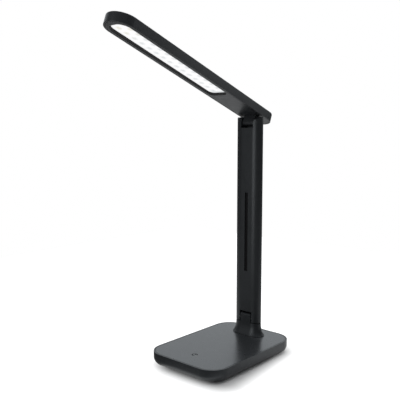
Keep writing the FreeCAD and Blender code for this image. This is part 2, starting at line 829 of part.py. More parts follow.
def leds():
    """Two staggered rows of lamps."""
    count = int((panel_length - 2 * led_end_gap - led_pitch / 2) / led_pitch) + 1
    lamps = []
    for side in (-1, 1):
        shift = led_pitch / 4 * side
        for number in range(count):
            y = panel_middle + shift + (number - (count - 1) / 2) * led_pitch
            x = side * led_row_spacing / 2
            lamps.append(block(x - led_width / 2, x + led_width / 2, y - led_length / 2, y + led_length / 2,
                               led_face, led_board_bottom))
    return group(lamps)


def led_board_screws():
    """Small screws that hold the lamp board to the shell."""
    grip = head_top - top_skin - lift - led_board_bottom
    return group([small_screw(Vector(x, y, led_board_bottom), Z, grip) for x, y in led_boss_places()])


def head_knuckle():
    """The upper hinge's knuckle with its neck and the flange inside the head."""
    barrel = rod(knuckle_radius, Vector(-knuckle_half, upper_y, upper_z), X, 2 * knuckle_half)
    neck = block(-knuckle_half, knuckle_half, upper_y - knuckle_radius, upper_y + knuckle_radius,
                 upper_z, bezel_top + seam)
    flange_low = bezel_top + seam
    flange = rounded_plate(flange_width, flange_length, flange_screw_inset, flange_low,
                           flange_low + flange_thickness, upper_y)
    body = barrel.fuse(neck).fuse(flange)
    for x, y in flange_screw_places():
        at = Vector(x, y, flange_low)
        body = body.cut(rod(small_screw_radius + loose, at, Z, flange_thickness))
        body = body.cut(rod(small_head_radius + loose, at, Z, small_head_height + lift))
    pin_hole = rod(upper_pin_radius + running, Vector(-arm_width, upper_y, upper_z), X, 2 * arm_width)
    return body.cut(pin_hole).removeSplitter()


def knuckle_screws():
    """Screws through the flange into the head shell."""
    seat = bezel_top + seam + small_head_height + lift
    grip = head_top - top_skin - lift - seat
    return group([small_screw(Vector(x, y, seat), Z, grip) for x, y in flange_screw_places()])


def head_lead():
    """The lead from the knuckle's flange to the lamp board."""
    level = bezel_top + seam + flange_thickness + lead_radius + lift
    start = upper_y - flange_length / 2 + flange_screw_inset
    end = panel_rear - led_board_inset + lift
    return rod(lead_radius, Vector(lead_side, start, level), -Y, start - end)


base_pieces = {
    "base_tub": base_tub(),
    "base_top_plate": base_top_plate(),
    "touch_mark": touch_mark(),
    "base_pad": base_pad(),
    "ballast_plate": ballast_plate(),
    "ballast_screws": ballast_screws(),
    "control_board": control_board(),
    "control_board_screws": board_screws(control_posts),
    "touch_pad": touch_pad(),
    "socket_board": socket_board(),
    "socket_board_screws": board_screws(socket_posts),
    "power_socket": power_socket(),
    "supply_lead": supply_lead(),
    "lamp_lead": lamp_lead(),
    "lid_screws": lid_screws(),
    "pedestal": pedestal(),
    "pedestal_stiffener": pedestal_stiffener(),
    "pedestal_screws": pedestal_screws(),
}
arm_pieces = {
    "arm_housing": arm_housing(),
    "arm_rear_cover": arm_rear_cover(),
    "arm_cover_screws": arm_cover_screws(),
    "arm_stiffener": arm_bar_stiffener(),
    "arm_lead": arm_lead(),
    "lower_hinge_pin": hinge_pin(lower_y, lower_z, lower_pin_radius),
    "lower_hinge_cap": hinge_cap(lower_y, lower_z, lower_pin_radius),
    "lower_hinge_washers": hinge_washers(lower_y, lower_z, lower_pin_radius, lower_washer_radius),
    "upper_hinge_pin": hinge_pin(upper_y, upper_z, upper_pin_radius),
    "upper_hinge_cap": hinge_cap(upper_y, upper_z, upper_pin_radius),
    "upper_hinge_washers": hinge_washers(upper_y, upper_z, upper_pin_radius, upper_washer_radius),
}
head_pieces = {
    "head_shell": head_shell(),
    "head_bezel": head_bezel(),
    "diffuser": diffuser(),
    "led_board": led_board(),
    "leds": leds(),
    "led_board_screws": led_board_screws(),
    "head_knuckle": head_knuckle(),
    "knuckle_screws": knuckle_screws(),
    "head_lead": head_lead(),
}

os.makedirs("parts", exist_ok=True)
for name, shape in {**base_pieces, **arm_pieces}.items():
    shape.exportStep("parts/" + name + ".step")
for name, shape in head_pieces.items():
    tilted(shape).exportStep("parts/" + name + ".step")
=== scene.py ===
"""Looks of a folding LED desk lamp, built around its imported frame.

Everything is in metres in the frame's own axes: +Z up, the lamp's front is -Y, the origin is the
middle of the underside.
"""

import json
import logging
import math
from contextlib import contextmanager
from dataclasses import dataclass
from enum import Enum
from typing import Callable, Iterator, Self, Sequence

import bmesh
import bpy
from mathutils import Matrix, Vector


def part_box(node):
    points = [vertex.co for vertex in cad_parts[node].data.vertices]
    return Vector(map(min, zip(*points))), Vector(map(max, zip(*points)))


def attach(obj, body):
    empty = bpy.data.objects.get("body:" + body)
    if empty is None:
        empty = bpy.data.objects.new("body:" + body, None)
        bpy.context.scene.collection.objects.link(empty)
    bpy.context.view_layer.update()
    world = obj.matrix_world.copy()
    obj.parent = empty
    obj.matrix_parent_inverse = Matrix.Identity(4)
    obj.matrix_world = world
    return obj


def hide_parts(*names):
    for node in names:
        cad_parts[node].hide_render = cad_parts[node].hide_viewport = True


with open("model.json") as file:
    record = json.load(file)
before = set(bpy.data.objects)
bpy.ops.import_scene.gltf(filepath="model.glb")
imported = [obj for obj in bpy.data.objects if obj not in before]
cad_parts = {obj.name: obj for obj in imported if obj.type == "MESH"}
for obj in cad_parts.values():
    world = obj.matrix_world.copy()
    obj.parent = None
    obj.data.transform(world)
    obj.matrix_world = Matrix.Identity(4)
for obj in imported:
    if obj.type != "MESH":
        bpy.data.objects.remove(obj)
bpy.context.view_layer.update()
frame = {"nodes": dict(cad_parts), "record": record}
LOG = logging.getLogger("desk_lamp")

Colour = tuple[float, float, float]
Pair = tuple[float, float]
Triple = tuple[float, float, float]
Point = Sequence[float]
Socket = bpy.types.NodeSocket
Test = Callable[[Vector, Vector], bool]

# Sizes that several assemblies share.
BASE_HALF = (0.055, 0.0795)
BASE_CORNER = 0.024
BASE_TOP = 0.017
LEAD_HOLE = (0.005, 0.0566, 0.0016)  # X, Y and radius
LOWER_HINGE = (0.0, 0.0509, 0.039)
UPPER_HINGE = (0.0, 0.0546, 0.2921)
HEAD_LIFT = math.radians(20.2)
WINDOW_MIDDLE = -0.10045
WINDOW_HALF = (0.0134, 0.08635)

PAST = 0.01  # how far a cutting tool reaches past what it cuts
ASIDE = 0.03  # half the width of a tool that cuts right across the lamp
SLACK = 1e-4  # room around places where edges are looked for
HAIR = 1e-5
WHITE = (1.0, 1.0, 1.0)


class Body(Enum):
    """The bodies that pieces ride on."""

    BASE = "base"
    ARM = "arm"
    HEAD = "head"


class Slot(Enum):
    """The finishes, by the record's slot names."""

    BASE = "base_black"
    PLATE = "plate_black"
    MARK = "mark_ink"
    ARM = "arm_black"
    HEAD = "head_black"
    PANEL = "diffuser_white"
    LAMPS = "lamp_yellow"
    LAMP_BOARD = "board_white"
    BOARD = "board_green"
    CONTACT = "contact_grey"
    PAD = "pad_rubber"
    WEIGHT = "ballast_steel"
    SCREW = "screw_steel"
    BLACK_SCREW = "screw_black"
    SOCKET = "socket_steel"
    LEAD = "lead_grey"


class Cut(Enum):
    """Ways to combine a piece with a shaping tool."""

    AWAY = "DIFFERENCE"
    KEEP = "INTERSECT"
    ADD = "UNION"


class Part(Enum):
    """What is picked in edit mode."""

    POINT = "VERT"
    EDGE = "EDGE"
    FACE = "FACE"


class Nodes:
    """A node tree that is filled one node at a time."""

    def __init__(self, tree: bpy.types.NodeTree) -> None:
        """Empties the tree."""
        self.tree = tree
        tree.nodes.clear()

    def plug(self, target: Socket, value: Socket | float | Point) -> None:
        """Links an input, or gives it a constant.

        Args:
            target: The input.
            value: The output to link, or the constant. A colour comes without its alpha.
        """
        if isinstance(value, Socket):
            self.tree.links.new(value, target)
        else:
            target.default_value = (*value, 1.0) if target.type == "RGBA" else value

    def node(self, kind: str, inputs: dict[str | int, Socket | float | Point] | None = None,
             **settings: str) -> bpy.types.Node:
        """Adds a node.

        Args:
            kind: The node's type, after ShaderNode.
            inputs: Links or constants for its inputs, by name or number.
            settings: Its other settings.

        Returns:
            The new node.
        """
        made = self.tree.nodes.new("ShaderNode" + kind)
        for name, value in settings.items():
            setattr(made, name, value)
        for name, value in (inputs or {}).items():
            self.plug(made.inputs[name], value)
        return made

    def calc(self, operation: str, first: Socket, second: Socket | float = 0.0) -> Socket:
        """One step of arithmetic, by its name in the Math node."""
        return self.node("Math", {0: first, 1: second}, operation=operation).outputs["Value"]

    def measure(self, operation: str, first: Socket, second: Point = (0.0, 0.0, 0.0)) -> Socket:
        """A vector's length, or its dot product with another."""
        return self.node("VectorMath", {0: first, 1: second}, operation=operation).outputs["Value"]

    def axes(self, vector: Socket) -> list[Socket]:
        """A vector's X, Y and Z."""
        return list(self.node("SeparateXYZ", {"Vector": vector}).outputs)

    def reach(self, across: Socket, along: Socket) -> Socket:
        """The length of a level vector."""
        vector = self.node("CombineXYZ", {"X": across, "Y": along})
        return self.measure("LENGTH", vector.outputs["Vector"])

    def span(self, value: Socket, source: Pair, target: Pair = (0.0, 1.0),
             smooth: bool = False) -> Socket:
        """Maps one range to another, easing in and out where it is smooth."""
        ends = dict(zip(("From Min", "From Max", "To Min", "To Max"), (*source, *target)))
        return self.node("MapRange", {"Value": value, **ends},
                         interpolation_type="SMOOTHSTEP" if smooth else "LINEAR").outputs["Result"]

    def mix(self, share: Socket, first: Socket | Colour, second: Socket | Colour) -> Socket:
        """Blends from the first colour at a share of 0 to the second at 1."""
        made = self.node("Mix", {"Factor": share, "A": first, "B": second}, data_type="RGBA")
        return made.outputs["Result"]

    def noise(self, where: Socket, scale: float, detail: float = 2.0, rough: float = 0.5,
              between: Pair | None = None) -> Socket:
        """Cloudy noise, its scale in features per metre; two values, if given, become 0 and 1."""
        value = self.node("TexNoise", {"Vector": where, "Scale": scale, "Detail": detail,
                                       "Roughness": rough}).outputs["Fac"]
        return self.span(value, between) if between else value


class Graph(Nodes):
    """A material's nodes around a Principled shader."""

    def __init__(self, name: str) -> None:
        """Starts a material with its shader and output.

        Args:
            name: The material's name.
        """
        self.material = bpy.data.materials.new(name)
        self.material.use_nodes = True
        super().__init__(self.material.node_tree)
        self.shader = self.node("BsdfPrincipled")
        self.node("OutputMaterial", {"Surface": self.shader.outputs["BSDF"]})

    def feed(self, **values: Socket | float | Colour) -> None:
        """Sets or drives the shader's inputs, named with underscores for spaces."""
        for name, value in values.items():
            self.plug(self.shader.inputs[name.replace("_", " ")], value)

    def coordinates(self, stretch: Point = WHITE, turn: float = 0.0,
                    pivot: Point = (0.0, 0.0, 0.0)) -> Socket:
        """The piece's own coordinates, turned about a pivot and stretched.

        Args:
            stretch: Factor on each axis.
            turn: Angle about X in radians.
            pivot: The point that the turn leaves in place.

        Returns:
            The coordinates.
        """
        centre = Vector(pivot)
        mapping = self.node("Mapping", {
            "Vector": self.node("TexCoord").outputs["Object"],
            "Location": centre - Matrix.Rotation(turn, 3, "X") @ centre,
            "Rotation": (turn, 0.0, 0.0),
            "Scale": stretch})
        return mapping.outputs["Vector"]

    def relief(self, height: Socket, depth: float, strength: float) -> None:
        """Gives the surface a fine relief; a height of 1 is the depth in metres."""
        bump = self.node("Bump", {"Distance": depth, "Strength": strength, "Height": height})
        self.feed(Normal=bump.outputs["Normal"])


@dataclass(frozen=True)
class Finish:
    """A material's recipe."""

    name: str
    MIDTONES = (0.3, 0.7)

    def make(self) -> bpy.types.Material:
        """Builds the material.

        Returns:
            The material.
        """
        graph = Graph(self.name)
        self.paint(graph)
        return graph.material

    def paint(self, graph: Graph) -> None:
        """Adds the recipe's nodes to a new material."""
        raise NotImplementedError


@dataclass(frozen=True)
class MouldedPlastic(Finish):
    """Satin plastic from a spark-eroded mould: fine even grain and slightly wandering gloss."""

    dark: Colour
    light: Colour
    gloss: Pair
    grain: float = 0.00035
    depth: float = 0.000006
    specular: float = 0.5
    sheen: Colour = (0.90, 0.96, 1.0)

    def paint(self, graph: Graph) -> None:
        """Paints clouds of colour and gloss under an even grain.

        Args:
            graph: The material's nodes.
        """
        own = graph.coordinates()
        cloud = graph.noise(own, scale=38.0, detail=3.0, between=(0.32, 0.68))
        patch = graph.noise(own, scale=160.0, detail=4.0, rough=0.6)
        graph.feed(Base_Color=graph.mix(cloud, self.dark, self.light),
                   Roughness=graph.span(patch, self.MIDTONES, self.gloss),
                   Specular_IOR_Level=self.specular, Specular_Tint=self.sheen)
        graph.relief(graph.noise(own, 1.0 / self.grain, rough=0.55), self.depth, strength=0.5)


@dataclass(frozen=True)
class PrintedInk(Finish):
    """Matt ink in a shallow pocket, a little uneven as printed ink is."""

    dark: Colour
    light: Colour

    def paint(self, graph: Graph) -> None:
        """Paints fine specks.

        Args:
            graph: The material's nodes.
        """
        own = graph.coordinates()
        speck = graph.noise(own, scale=2600.0, detail=3.0, between=(0.35, 0.65))
        graph.feed(Base_Color=graph.mix(speck, self.dark, self.light),
                   Roughness=graph.span(speck, (0.0, 1.0), (0.75, 0.9)), Specular_IOR_Level=0.15)
        graph.relief(graph.noise(own, scale=5200.0), depth=0.00001, strength=0.6)


@dataclass(frozen=True)
class LightPanel(Finish):
    """Frosted panel lit from behind by two staggered rows of lamps."""

    bright: Colour
    shade: Colour
    warm: Colour
    row: float = 0.011
    pitch: float = 0.011
    spot_size: Pair = (0.0005, 0.0050)
    warm_end: Pair = (0.012, 0.045)
    edge_width: float = 0.007
    skin: tuple[Colour, Colour] = ((0.28, 0.285, 0.29), (0.34, 0.345, 0.35))

    def spot(self, graph: Graph, across: Socket, along: Socket, side: int) -> Socket:
        """How near a point is to a lamp of one row, from 0 to 1.

        Args:
            graph: The material's nodes.
            across: Distance from the panel's middle line.
            along: Distance along the panel.
            side: 1 for the right row and -1 for the left one.

        Returns:
            The nearness.
        """
        start = WINDOW_MIDDLE + side * self.pitch / 4
        step = graph.calc("DIVIDE", graph.calc("SUBTRACT", along, start), self.pitch)
        off_lamp = graph.calc("SUBTRACT", graph.calc("FRACT", step), 0.5)
        off_lamp = graph.calc("MULTIPLY", off_lamp, self.pitch)
        off_row = graph.calc("SUBTRACT", across, side * self.row / 2)
        return graph.span(graph.reach(off_lamp, off_row), self.spot_size, (1.0, 0.0), smooth=True)

    def paint(self, graph: Graph) -> None:
        """Paints the glow with its spots, warmer near the tip and shaded at both ends.

        Args:
            graph: The material's nodes.
        """
        level = graph.coordinates(turn=HEAD_LIFT, pivot=UPPER_HINGE)
        across, along, _ = graph.axes(level)
        spots = graph.calc("MAXIMUM", *(self.spot(graph, across, along, side) for side in (1, -1)))
        frost = graph.span(graph.noise(level, scale=900.0, detail=3.0), self.MIDTONES, (0.75, 1.0))
        half = WINDOW_HALF[1]
        start, end = (WINDOW_MIDDLE - half + size for size in self.warm_end)
        warmth = graph.span(along, (start, end), (1.0, 0.0), smooth=True)
        tint = graph.mix(warmth, self.shade, self.warm)
        glow = graph.mix(graph.calc("MULTIPLY", spots, frost), self.bright, tint)
        off_middle = graph.calc("ABSOLUTE", graph.calc("SUBTRACT", along, WINDOW_MIDDLE))
        edge = graph.span(off_middle, (half - self.edge_width, half), smooth=True)
        graph.feed(Emission_Color=graph.mix(edge, glow, self.shade), Emission_Strength=0.84,
                   Base_Color=graph.mix(frost, *self.skin), Roughness=0.55, Specular_IOR_Level=0.3)
        graph.relief(graph.noise(level, scale=3200.0), depth=0.00002, strength=0.4)


@dataclass(frozen=True)
class Plated(Finish):
    """Plated metal with fine drawn lines."""

    dark: Colour
    light: Colour
    gloss: Pair

    def paint(self, graph: Graph) -> None:
        """Paints lines that run along Y.

        Args:
            graph: The material's nodes.
        """
        drawn = graph.coordinates(stretch=(1.0, 0.06, 1.0))
        line = graph.noise(drawn, scale=3000.0, detail=4.0, rough=0.65)
        graph.feed(Base_Color=graph.mix(graph.span(line, self.MIDTONES), self.dark, self.light),
                   Roughness=graph.span(line, self.MIDTONES, self.gloss), Metallic=1.0)
        graph.relief(line, depth=0.000006, strength=0.4)


@dataclass(frozen=True)
class Rubber(Finish):
    """Matt rubber or soft insulation with a fine pitted skin."""

    dark: Colour
    light: Colour
    grain: float

    def paint(self, graph: Graph) -> None:
        """Paints dusty patches over pits.

        Args:
            graph: The material's nodes.
        """
        own = graph.coordinates()
        dust = graph.noise(own, scale=240.0, detail=5.0, rough=0.6, between=(0.35, 0.7))
        graph.feed(Base_Color=graph.mix(dust, self.dark, self.light),
                   Roughness=graph.span(dust, (0.0, 1.0), (0.72, 0.88)), Specular_IOR_Level=0.3)
        pits = graph.noise(own, 1.0 / self.grain, detail=3.0, rough=0.6)
        graph.relief(pits, depth=0.00003, strength=0.7)


@dataclass(frozen=True)
class Laminate(Finish):
    """A circuit board: solder mask over faint tracks."""

    mask: Colour
    track: Colour

    def paint(self, graph: Graph) -> None:
        """Paints tracks along the borders of square cells.

        Args:
            graph: The material's nodes.
        """
        own = graph.coordinates()
        cells = graph.node("TexVoronoi", {"Vector": own, "Scale": 320.0},
                           distance="CHEBYCHEV", feature="F1")
        lines = graph.span(cells.outputs["Distance"], (0.42, 0.5))
        gloss = graph.span(graph.noise(own, scale=700.0), self.MIDTONES, (0.3, 0.45))
        graph.feed(Base_Color=graph.mix(lines, self.mask, self.track), Roughness=gloss)
        graph.relief(lines, depth=0.00003, strength=0.5)


@dataclass(frozen=True)
class Phosphor(Finish):
    """The lamps' yellow phosphor with their own light."""

    rim: Colour
    heart: Colour

    def paint(self, graph: Graph) -> None:
        """Paints glowing grains.

        Args:
            graph: The material's nodes.
        """
        grains = graph.noise(graph.coordinates(), scale=2600.0, detail=3.0, between=self.MIDTONES)
        colour = graph.mix(grains, self.rim, self.heart)
        graph.feed(Base_Color=colour, Emission_Color=colour, Emission_Strength=1.0, Roughness=0.6)


class Wardrobe:
    """Gives pieces their finishes, each finish made once."""

    def __init__(self, finishes: dict[Slot, Finish]) -> None:
        """Makes every material."""
        self.materials = {slot: finish.make() for slot, finish in finishes.items()}

    def dress(self, piece: bpy.types.Object, slot: Slot) -> None:
        """Puts one finish on the whole of a piece.

        Args:
            piece: The piece or CAD node.
            slot: The finish's slot.
        """
        if not piece.material_slots:
            piece.data.materials.append(self.materials[slot])
        for place in piece.material_slots:
            place.material = self.materials[slot]

    def dress_frame(self) -> None:
        """Puts the record's finish on every CAD node."""
        for row in frame["record"]["subparts"]:
            self.dress(frame["nodes"][row["node"]], Slot(row["material_slot"]))


class Workpiece:
    """A piece in the making: a primitive that is shaped in edit mode and then finished."""

    NEAR = 2e-6
    LEVEL = 1e-3
    UPRIGHT = 0.99
    MERGE = 1e-6
    SPECK = 1e-7
    SHARP = math.radians(40.0)
    CREASE = math.radians(32.0)

    def __init__(self, name: str) -> None:
        """Takes the primitive that was just added.

        Args:
            name: The piece's name.
        """
        self.object = bpy.context.active_object
        self.object.name = name
        self.object.data.name = name
        bpy.ops.object.transform_apply(location=True, rotation=True, scale=True)

    @classmethod
    def block(cls, name: str, low: Point, high: Point) -> Self:
        """A square block.

        Args:
            name: The piece's name.
            low: Its lowest corner.
            high: Its highest corner.

        Returns:
            The piece.
        """
        bpy.ops.object.select_all(action="DESELECT")
        low, high = Vector(low), Vector(high)
        bpy.ops.mesh.primitive_cube_add(size=1.0, location=(low + high) / 2, scale=high - low)
        return cls(name)

    @classmethod
    def drum(cls, name: str, centre: Point, half: Point, corner: float | Point, levels: Pair,
             sides: int = 96) -> Self:
        """An upright drum pulled apart into an oval, a stadium or a block with round corners.

        Args:
            name: The piece's name.
            centre: Its middle in X and Y.
            half: Half its width and depth.
            corner: The corners' radius, or their half axes in X and Y.
            levels: Heights of its underside and top.
            sides: Sides of the drum.

        Returns:
            The piece.
        """
        bpy.ops.object.select_all(action="DESELECT")
        low, high = levels
        corner = (corner, corner) if isinstance(corner, float) else corner
        wide = 1.0 / math.cos(math.pi / sides)
        bpy.ops.mesh.primitive_cylinder_add(
            vertices=sides, radius=1.0, depth=high - low, location=(*centre, (low + high) / 2),
            rotation=(0.0, 0.0, math.pi / sides), scale=(wide, wide, 1.0))
        piece = cls(name)
        with piece.editing():
            bpy.ops.mesh.select_all(action="SELECT")
            bpy.ops.transform.resize(value=(*corner, 1.0), center_override=(*centre, 0.0))
            for axis in (0, 1):
                for side in (-1, 1):
                    step = Vector((0.0, 0.0, 0.0))
                    step[axis] = side * (half[axis] - corner[axis])
                    piece.pick(Part.POINT,
                               lambda place, way: side * (place[axis] - centre[axis]) > 0)
                    bpy.ops.transform.translate(value=step)
        return piece

    @classmethod
    def rod(cls, name: str, centre: Point, radius: float, ends: Pair, axis: str,
            sides: int) -> Self:
        """A round rod along one axis.

        Args:
            name: The piece's name.
            centre: A point on its middle line.
            radius: Its radius.
            ends: Where it starts and ends on the axis.
            axis: X, Y or Z.
            sides: Sides of the rod.

        Returns:
            The piece.
        """
        bpy.ops.object.select_all(action="DESELECT")
        low, high = ends
        place = Vector(centre)
        place["XYZ".index(axis)] = (low + high) / 2
        quarter = math.pi / 2
        turn = {"X": (0.0, quarter, 0.0), "Y": (quarter, 0.0, 0.0), "Z": (0.0, 0.0, 0.0)}[axis]
        bpy.ops.mesh.primitive_cylinder_add(vertices=sides, radius=radius, depth=high - low,
                                            location=place, rotation=turn)
        return cls(name)

    @contextmanager
    def editing(self) -> Iterator[None]:
        """Opens the piece, alone, in edit mode."""
        self.hold()
        bpy.ops.object.mode_set(mode="EDIT")
        yield
        bpy.ops.object.mode_set(mode="OBJECT")

    def hold(self) -> None:
        """Selects this piece alone."""
        bpy.ops.object.select_all(action="DESELECT")
        self.object.select_set(True)
        bpy.context.view_layer.objects.active = self.object

    def pick(self, part: Part, test: Test) -> None:
        """Selects points, edges or faces in edit mode.

        Args:
            part: What to select.
            test: Says yes to a place and a direction: a point's or face's normal, an edge's run.
        """
        bpy.ops.mesh.select_mode(type=part.value)
        bpy.ops.mesh.select_all(action="DESELECT")
        mesh = bmesh.from_edit_mesh(self.object.data)
        mesh.normal_update()
        if part is Part.POINT:
            choices = [(point, point.co, point.normal) for point in mesh.verts]
        elif part is Part.EDGE:
            choices = [(edge, (edge.verts[0].co + edge.verts[1].co) / 2,
                        (edge.verts[1].co - edge.verts[0].co).normalized()) for edge in mesh.edges]
        else:
            choices = [(face, face.calc_center_median(), face.normal) for face in mesh.faces]
        for item, place, way in choices:
            if test(place, way):
                item.select_set(True)
        mesh.select_flush_mode()
        bmesh.update_edit_mesh(self.object.data)

    def level_face(self, height: float, upward: int) -> Test:
        """A test for the level face at one height that looks up (1) or down (-1)."""
        return lambda place, way: (abs(place.z - height) < self.NEAR
                                   and upward * way.z > self.UPRIGHT)

    def level_edge(self, height: float) -> Test:
        """A test for the level edges at one height."""
        return lambda place, way: (abs(place.z - height) < self.NEAR and abs(way.z) < self.LEVEL)

    def round_edges(self, test: Test, radius: float, steps: int = 3) -> None:
        """Rounds the edges that a test picks.

        Args:
            test: The edges.
            radius: The rounding's radius.
            steps: Its segments.
        """
        with self.editing():
            self.pick(Part.EDGE, test)
            bpy.ops.mesh.bevel(offset=radius, segments=steps, affect="EDGES", profile=0.5)

    def round_rim(self, height: float, radius: float, steps: int) -> None:
        """Rounds every level edge at one height, in some segments."""
        self.round_edges(self.level_edge(height), radius, steps)

    def sink(self, height: float, upward: int, steps: Sequence[Pair]) -> None:
        """Insets a level face and pushes it along Z, step by step.

        Args:
            height: The face's height.
            upward: 1 where it looks up and -1 where it looks down.
            steps: For each step the inset, and then the rise.
        """
        with self.editing():
            self.pick(Part.FACE, self.level_face(height, upward))
            for inset, rise in steps:
                bpy.ops.mesh.inset(thickness=inset, depth=0.0)
                bpy.ops.mesh.extrude_region_move(
                    TRANSFORM_OT_translate={"value": (0.0, 0.0, rise)})

    def modify(self, kind: str, **settings: object) -> None:
        """Adds a modifier and applies it.

        Args:
            kind: The modifier's type.
            settings: Its settings.
        """
        self.hold()
        bpy.ops.object.modifier_add(type=kind)
        modifier = self.object.modifiers[-1]
        for name, value in settings.items():
            setattr(modifier, name, value)
        bpy.ops.object.modifier_apply(modifier=modifier.name)

    def combine(self, tool: "Workpiece", cut: Cut = Cut.AWAY) -> None:
        """Combines the piece with a tool, which is used up.

        Args:
            tool: The shaping tool.
            cut: How they combine.
        """
        self.modify("BOOLEAN", operation=cut.value, solver="EXACT", object=tool.object)
        mesh = tool.object.data
        bpy.data.objects.remove(tool.object)
        bpy.data.meshes.remove(mesh)

    def cut(self, low: Point, high: Point, cut: Cut = Cut.AWAY) -> None:
        """Combines the piece with a square block between two corners."""
        self.combine(Workpiece.block("tool", low, high), cut)

    def bore(self, centre: Point, radius: float, ends: Pair, axis: str, sides: int) -> None:
        """Bores a round hole along one axis."""
        self.combine(Workpiece.rod("tool", centre, radius, ends, axis, sides))

    def soften(self, width: float) -> None:
        """Breaks every sharp edge by a width, as a mould does."""
        self.modify("BEVEL", width=width, segments=2, limit_method="ANGLE", angle_limit=self.SHARP)

    def tilt(self, angle: float, pivot: Point) -> None:
        """Turns the piece about an axis along X.

        Args:
            angle: The angle in radians, positive from +Y to +Z.
            pivot: A point on the axis.
        """
        with self.editing():
            bpy.ops.mesh.select_all(action="SELECT")
            bpy.ops.transform.rotate(value=-angle, orient_axis="X", center_override=pivot)

    def finish(self, body: Body, slot: Slot, wardrobe: Wardrobe, *nodes: str) -> None:
        """Cleans, smooths and dresses the piece, and puts it in the nodes' place.

        Args:
            body: The body that it rides on.
            slot: Its finish.
            wardrobe: The finishes.
            nodes: The CAD nodes that it stands for.
        """
        with self.editing():
            bpy.ops.mesh.select_all(action="SELECT")
            bpy.ops.mesh.remove_doubles(threshold=self.MERGE)
            bpy.ops.mesh.dissolve_degenerate(threshold=self.SPECK)
            bpy.ops.mesh.select_all(action="SELECT")
            bpy.ops.mesh.normals_make_consistent(inside=False)
        self.hold()
        bpy.ops.object.shade_smooth_by_angle(angle=self.CREASE)
        self.modify("WEIGHTED_NORMAL", keep_sharp=True)
        wardrobe.dress(self.object, slot)
        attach(self.object, body.value)
        if nodes:
            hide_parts(*nodes)
        self.report(nodes)

    def report(self, nodes: Sequence[str]) -> None:
        """Logs the piece's triangles and how far its box is from its nodes' boxes.

        Args:
            nodes: The CAD nodes that it stands for.
        """
        mesh = self.object.data
        mesh.calc_loop_triangles()
        corners = [point.co for point in mesh.vertices]
        boxes = [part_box(node) for node in nodes]
        gaps = [0.0]
        for axis in range(3) if nodes else ():
            for end, farthest in enumerate((min, max)):
                gaps.append(farthest(corner[axis] for corner in corners)
                            - farthest(box[end][axis] for box in boxes))
        LOG.info("%s: %d triangles, box off by %.3f mm", self.object.name,
                 len(mesh.loop_triangles), 1000.0 * max(gaps, key=abs))


